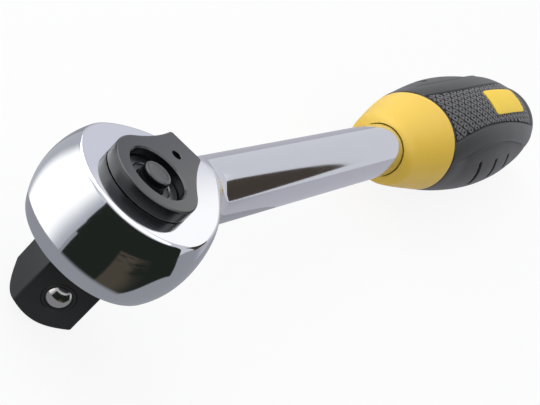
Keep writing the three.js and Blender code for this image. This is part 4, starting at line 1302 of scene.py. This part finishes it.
def badge_skin(s):
    """The badge: rounded rectangles that shrink to its middle, laid on the grip's surface."""
    form = GripForm(s)
    half_x, half_t = s.badge_length / 2, s.badge_width / 2
    columns, power, foot, end_bow = 160, 1 / 6, -1.2, 1.2
    square_x, square_t = rounded_square(columns, power)
    proud = s.badge_proud
    levels = [
        (0, foot), (0.6, foot), (1, foot), (1, proud - 0.25), (0.997, proud - 0.1),
        (0.988, proud - 0.02), (0.975, proud), (0.8, proud), (0.6, proud), (0.4, proud),
        (0.2, proud), (0, proud),
    ]
    size, rise = (part[:, None] for part in np.array(levels).T)
    inset = (1 - size) * half_t
    along = np.where(size > 0.9, half_x - inset, half_x * size)
    bow = end_bow * (1 - square_t**2) * np.clip(square_x, 0, 1) * (size > 0.5)
    place = s.badge_at + half_x + along * square_x + bow
    return Skin().grid(form.lay(place, half_t * size * square_t, rise))


class BuildHead(bpy.types.Operator):
    """Build the chrome forging: head, neck, shank and tang"""

    bl_idname = "ratchet.build_head"
    bl_label = "Head Forging"

    def execute(self, context):
        skin = head_skin(sizes("head"))
        make_piece("head_forging", skin, chrome(), "handle", ["head_body"], sharp=30)
        return {"FINISHED"}


class BuildUnderside(bpy.types.Operator):
    """Build the bottom plate and its snap ring, and dress the washer and seal behind them"""

    bl_idname = "ratchet.build_underside"
    bl_label = "Underside"

    def execute(self, context):
        head = sizes("head")
        inner, outer = sizes("drive").journal + head.plate_play, PLATE_HIGH[0]
        section = ring_profile(inner, outer, PLATE_LOW[2], PLATE_HIGH[2], head.plate_edge)
        plate = Skin().grid(lathe(section, 128))
        make_piece("bottom_cover", plate, bare_steel(), "handle", ["bottom_plate"])
        low, high, outer = SNAP_LOW[2], SNAP_HIGH[2], SNAP_HIGH[1]
        snap = open_ring_skin(outer - head.snap_width, outer, low, high, head.snap_gap)
        make_piece("snap_ring", snap, spring_steel(), "handle", ["plate_snap_ring"])
        dress(bare_steel(), "thrust_washer")
        dress(seal_rubber(), "drive_seal")
        return {"FINISHED"}


class BuildDrive(bpy.types.Operator):
    """Build the square drive with its toothed wheel and journals"""

    bl_idname = "ratchet.build_drive"
    bl_label = "Drive"

    def execute(self, context):
        skin = drive_skin(sizes("drive"))
        make_piece("square_drive", skin, black_steel(), "drive", ["drive_gear"])
        return {"FINISHED"}


class BuildQuickRelease(bpy.types.Operator):
    """Build the ball, button and retainer, and dress the pin and spring inside"""

    bl_idname = "ratchet.build_quick_release"
    bl_label = "Quick Release"

    def execute(self, context):
        drive = sizes("drive")
        oiled = turned_steel("oiled_steel", toned(tint_of("spring_steel"), 0.35), 0.3)
        polished = turned_steel("ball_steel", tint_of("ball"), 0.08)
        make_piece("release_ball", ball_skin(drive), polished, "ball",
                   ["detent_ball"])
        make_piece("button_cap", button_skin(drive), black_lever(), "button",
                   ["release_button"], sharp=45)
        low, high = RETAINER_LOW[2], RETAINER_HIGH[2]
        inner = drive.button + drive.retainer_play
        outer = drive.spring_pocket + drive.retainer_seat
        ring = open_ring_skin(inner, outer, low, high, drive.button, drive.turn)
        make_piece("retainer_ring", ring, oiled, "drive", ["button_retainer"])
        dress(bare_steel(), "release_pin")
        dress(spring_steel(), "release_spring")
        return {"FINISHED"}


class BuildLever(bpy.types.Operator):
    """Build the reversing lever"""

    bl_idname = "ratchet.build_lever"
    bl_label = "Reversing Lever"

    def execute(self, context):
        skin = lever_skin(sizes("lever"))
        make_piece("lever_cap", skin, black_lever(), "lever", ["reversing_lever"])
        return {"FINISHED"}


class DressReversingGear(bpy.types.Operator):
    """Dress the reversing gear inside the head"""

    bl_idname = "ratchet.dress_reversing_gear"
    bl_label = "Reversing Gear"

    def execute(self, context):
        dress(bare_steel(), "shift_plate")
        dress(spring_steel(), "lever_clip", "pawl_spring")
        dress(seal_rubber(), "lever_seal")
        dress(black_steel(), "pawl")
        return {"FINISHED"}


class BuildGrip(bpy.types.Operator):
    """Build the grip: yellow core, rubber sleeve, diamond pads and badge"""

    bl_idname = "ratchet.build_grip"
    bl_label = "Grip"

    def execute(self, context):
        s = sizes("grip")
        yellow = yellow_plastic("yellow_plastic", tint_of("yellow"), 0.36)
        bright = yellow_plastic("badge_plastic", tint_of("badge"), 0.55)
        rubber = grip_rubber("grip_rubber", tint_of("rubber"))
        dusty = grip_rubber("pad_rubber", tint_of("pads"))
        make_piece("grip_collar", collar_skin(s), yellow, "handle", ["grip_core"])
        make_piece("grip_rubber", sleeve_skin(s), rubber, "handle", ["grip_sleeve"],
                   sharp=60)
        make_piece("grip_pads", pads_skin(s), dusty, "handle", sharp=50)
        make_piece("grip_badge", badge_skin(s), bright, "handle",
                   ["badge_inlay"], sharp=50)
        return {"FINISHED"}


def stage_object(name, points, material):
    """A stage surface from a grid of points in millimetres."""
    rows, columns = points.shape[:2]
    index = np.arange(rows * columns).reshape(rows, columns)
    quads = np.stack([index[:-1, :-1], index[:-1, 1:], index[1:, 1:], index[1:, :-1]], -1)
    mesh = bpy.data.meshes.new(name)
    mesh.from_pydata(points.reshape(-1, 3) * MM, [], quads.reshape(-1, 4).tolist())
    mesh.materials.append(material)
    made = bpy.data.objects.new(name, mesh)
    bpy.context.scene.collection.objects.link(made)
    return made


def floor_height(x):
    """The floor that the tool rests on: through the square's end edge and under the belly."""
    edge, slope, gap = 5.75, 0.0617, 0.05
    return (x - edge) * slope - gap


def seen(shade):
    """One for rays that see the backdrop straight or through glass, and one for mirrored rays."""
    straight, glass, mirrored = (
        shade.value("LightPath", output=name)
        for name in ("Is Camera Ray", "Is Transmission Ray", "Is Glossy Ray")
    )
    return straight + glass, mirrored


def floor_finish(studio):
    """A pale floor that reads as white, keeps a soft shadow and is open from below."""
    made = bpy.data.materials.new("floor")
    made.use_nodes = True
    shade = Shade(made.node_tree)
    direct, mirrored = seen(shade)
    matt = shade.value("BsdfDiffuse", None, {"Color": rgba(studio.floor)})
    white = shade.value("Emission", None, {"Color": rgba((1, 1, 1)), "Strength": 1.0})
    pale = shade.value("Emission", None, {"Color": rgba(studio.floor_mirrored), "Strength": 1.0})
    clear = shade.value("BsdfTransparent")
    white_share = 0.9
    surface = shade.value("MixShader", None, {0: direct * white_share, 1: matt, 2: white})
    surface = shade.value("MixShader", None, {0: mirrored, 1: surface, 2: pale})
    back = shade.value("NewGeometry", output="Backfacing")
    surface = shade.value("MixShader", None, {0: back, 1: surface, 2: clear})
    shade.node("OutputMaterial", None, {"Surface": surface})
    return made


def card_finish(name, tint, strength=1.0):
    """A studio card that only shows in mirrors; the function gives its colour over its surface."""
    made = bpy.data.materials.new(name)
    made.use_nodes = True
    shade = Shade(made.node_tree)
    glow = shade.value("Emission", None, {"Color": tint(shade), "Strength": strength})
    shade.node("OutputMaterial", None, {"Surface": glow})
    return made


def direction(shade):
    """The direction of a card's point from the drive axis, in radians."""
    place = shade.place()
    x, y = (shade.value("SeparateXYZ", None, {0: place}, axis) for axis in (0, 1))
    return shade.maths("ARCTAN2", y, x)


def band(shade, value, low, high, soft_low, soft_high):
    """One between two angles in degrees, easing to zero over a soft edge on each side."""
    low, high, soft_low, soft_high = np.radians([low, high, soft_low, soft_high]).tolist()
    return shade.step(value, low, low + soft_low) * (1 - shade.step(value, high - soft_high, high))


def mirror_only(made):
    """Hides a stage object from everything but mirrored rays."""
    made.visible_camera = False
    made.visible_diffuse = False
    made.visible_transmission = False
    made.visible_shadow = False


def card(name, middle, spread, path, finish):
    """A sheet swept round the drive axis: a path of radius and height over a range of directions."""
    path = np.asarray(path, float)
    columns = 49
    swing = np.radians(middle + np.linspace(-spread, spread, columns))
    x, y = path[:, :1] * np.cos(swing), path[:, :1] * np.sin(swing)
    height = floor_height(x) + path[:, 1:]
    mirror_only(stage_object(name, np.stack([x, y, height], -1), finish))


def build_cards(studio):
    """The cards that the chrome mirrors: black before the head, white beside it, a brown strip."""
    pale, sky = studio.floor_mirrored, studio.sky
    night, brown, strip_brown = (0.018, 0.022, 0.018), (0.082, 0.07, 0.053), (0.065, 0.052, 0.043)
    lavender, white = (0.5, 0.5, 0.56), (1, 1, 1)
    near, wall, white_wall = 120, 450, 430

    def black_front(shade):
        patch = band(shade, direction(shade), -134, -90, 3, 26)
        ragged = shade.step(shade.noise(70, 4), 0.33, 0.52)
        sheet = shade.mix(patch * ragged, night, brown)
        away = shade.value("VectorMath", {"operation": "LENGTH"}, {0: shade.place()}, "Value")
        edge = 55 * MM * shade.step(direction(shade), math.radians(-100), math.radians(-64))
        return shade.mix(shade.step(away - edge, 26 * MM, 31 * MM), pale, sheet)

    def white_fan(shade):
        return shade.mix(band(shade, direction(shade), 76, 176, 22, 30), pale, white)

    def pale_fan(shade):
        return shade.mix(band(shade, direction(shade), -36, 46, 14, 18), pale, lavender)

    def white_end(shade):
        across = shade.value("SeparateXYZ", None, {0: shade.place()}, 1)
        return shade.mix(shade.step(across, 6 * MM, 26 * MM), white, sky)

    front = card_finish("black_card", black_front)
    front_wall = card_finish("dark_wall", lambda shade: rgba(night))
    side = card_finish("white_card", white_fan, 1.5)
    behind = card_finish("pale_card", pale_fan)
    card("black_sheet", -122.5, 60.5, [(24, 1), (near, 1), (wall, 1)], front)
    card("black_wall", -123.5, 61.5, [(wall, 1), (wall, 140), (wall, 300)], front_wall)
    card("white_sheet", 116, 60, [(29, 0.5), (near, 0.5), (white_wall, 0.5)], side)
    card("white_wall", 116, 60, [(white_wall, 0.5), (white_wall, 160), (420, 230)], side)
    card("pale_sheet", 5, 41, [(95, 0.8), (wall, 0.8), (2300, 0.8)], behind)

    strip_top = 330
    swing, low = np.array([(-40, 4), (-27, 60), (-17, 100), (-6.5, 250)]).T
    rim = wall * np.stack([np.cos(np.radians(swing)), np.sin(np.radians(swing))], -1)
    strip = np.stack([np.c_[rim, low], np.c_[rim, np.full_like(low, strip_top)]])
    strip_wall = card_finish("brown_wall", lambda shade: rgba(strip_brown))
    mirror_only(stage_object("dark_strip", strip, strip_wall))

    height = 64
    x, y = np.meshgrid([36.0, 86.0], [44.0, -26.0], indexing="ij")
    above = card_finish("bright_card", white_end, 1.3)
    mirror_only(stage_object("bright_card", np.stack([x, y, height + 0 * x], -1), above))


def world_light(studio):
    """Soft light from all round, brighter in mirrors, and plain white where it is seen."""
    world = bpy.data.worlds.new("studio")
    bpy.context.scene.world = world
    world.use_nodes = True
    shade = Shade(world.node_tree)
    direct, mirrored = seen(shade)
    sky_strength = 0.45
    light, mirror, backdrop = (
        shade.value("Background", None, {"Color": rgba(tint), "Strength": strength})
        for tint, strength in (
            (studio.sky, sky_strength), (studio.sky_mirrored, 1.0), ((1, 1, 1), 1.0)
        )
    )
    surface = shade.value("MixShader", None, {0: mirrored, 1: light, 2: mirror})
    surface = shade.value("MixShader", None, {0: direct, 1: surface, 2: backdrop})
    shade.node("OutputWorld", None, {"Surface": surface})


def soft_lamp(name, place, aim, size, watts):
    """A square soft light at a place, turned to what it lights; places in millimetres."""
    lamp = bpy.data.lights.new(name, "AREA")
    lamp.shape, lamp.size, lamp.energy = "SQUARE", size * MM, watts
    made = bpy.data.objects.new(name, lamp)
    made.location = Vector(place) * MM
    made.rotation_euler = (Vector(aim) - Vector(place)).to_track_quat("-Z", "Y").to_euler()
    bpy.context.scene.collection.objects.link(made)


def photo_camera():
    """The camera at the photograph's place, from the solved view for a frame of 540 by 405."""
    focal, frame_width, sensor = 1229.37, 540, 36.0
    right = Vector((0.43015274, -0.62071361, 0.65550227))
    up = Vector((0.12249218, 0.75952812, 0.63883699))
    place, back = Vector((-186.214, -58.377, 133.996)) * MM, right.cross(up)
    made = bpy.data.objects.new("camera", bpy.data.cameras.new("camera"))
    made.data.sensor_width, made.data.lens = sensor, focal * sensor / frame_width
    made.data.clip_start, made.data.clip_end = 0.01, 20
    turn = Matrix((right, up, back)).transposed().to_4x4()
    made.matrix_world = Matrix.Translation(place) @ turn
    bpy.context.scene.collection.objects.link(made)
    bpy.context.scene.camera = made


class BuildStage(bpy.types.Operator):
    """Build the floor, studio cards, lights and camera"""

    bl_idname = "ratchet.build_stage"
    bl_label = "Stage"

    def execute(self, context):
        studio = context.scene.ratchet.studio
        context.scene.view_settings.view_transform = "Standard"
        reach = 2500
        x, y = np.meshgrid([-reach, reach], [-reach, reach], indexing="ij")
        ground = np.stack([x, y, floor_height(x)], -1).astype(float)
        stage_object("floor", ground[:, ::-1], floor_finish(studio))
        build_cards(studio)
        world_light(studio)
        aim = (90, 0, 20)
        soft_lamp("key", (40, 800, 560), aim, 1300, studio.key)
        soft_lamp("overhead", (60, -60, 800), aim, 1100, studio.fill)
        photo_camera()
        return {"FINISHED"}


OPERATORS = (
    BuildHead, BuildUnderside, BuildDrive, BuildQuickRelease, BuildLever, DressReversingGear,
    BuildGrip, BuildStage,
)


class RatchetPanel(bpy.types.Panel):
    """Lists the ratchet's pieces and settings"""

    bl_idname = "VIEW3D_PT_ratchet"
    bl_label = "Socket Ratchet"
    bl_space_type = "VIEW_3D"
    bl_region_type = "UI"
    bl_category = "Ratchet"

    def draw(self, context):
        for operator in OPERATORS:
            self.layout.operator(operator.bl_idname)
        settings = context.scene.ratchet
        for name in RatchetSettings.__annotations__:
            box = self.layout.box()
            box.label(text=name.capitalize())
            group = getattr(settings, name)
            for key in group.__annotations__:
                box.prop(group, key)


CLASSES = (
    HeadSizes, DriveSizes, LeverSizes, GripSizes, Finishes, StudioSettings, RatchetSettings,
    *OPERATORS, RatchetPanel,
)


def register():
    for cls in CLASSES:
        bpy.utils.register_class(cls)
    bpy.types.Scene.ratchet = bpy.props.PointerProperty(type=RatchetSettings)


def unregister():
    del bpy.types.Scene.ratchet
    for cls in reversed(CLASSES):
        bpy.utils.unregister_class(cls)


def main():
    register()
    bpy.ops.ratchet.build_head()
    bpy.ops.ratchet.build_underside()
    bpy.ops.ratchet.build_drive()
    bpy.ops.ratchet.build_quick_release()
    bpy.ops.ratchet.build_lever()
    bpy.ops.ratchet.dress_reversing_gear()
    bpy.ops.ratchet.build_grip()
    bpy.ops.ratchet.build_stage()


if __name__ == "__main__":
    main()
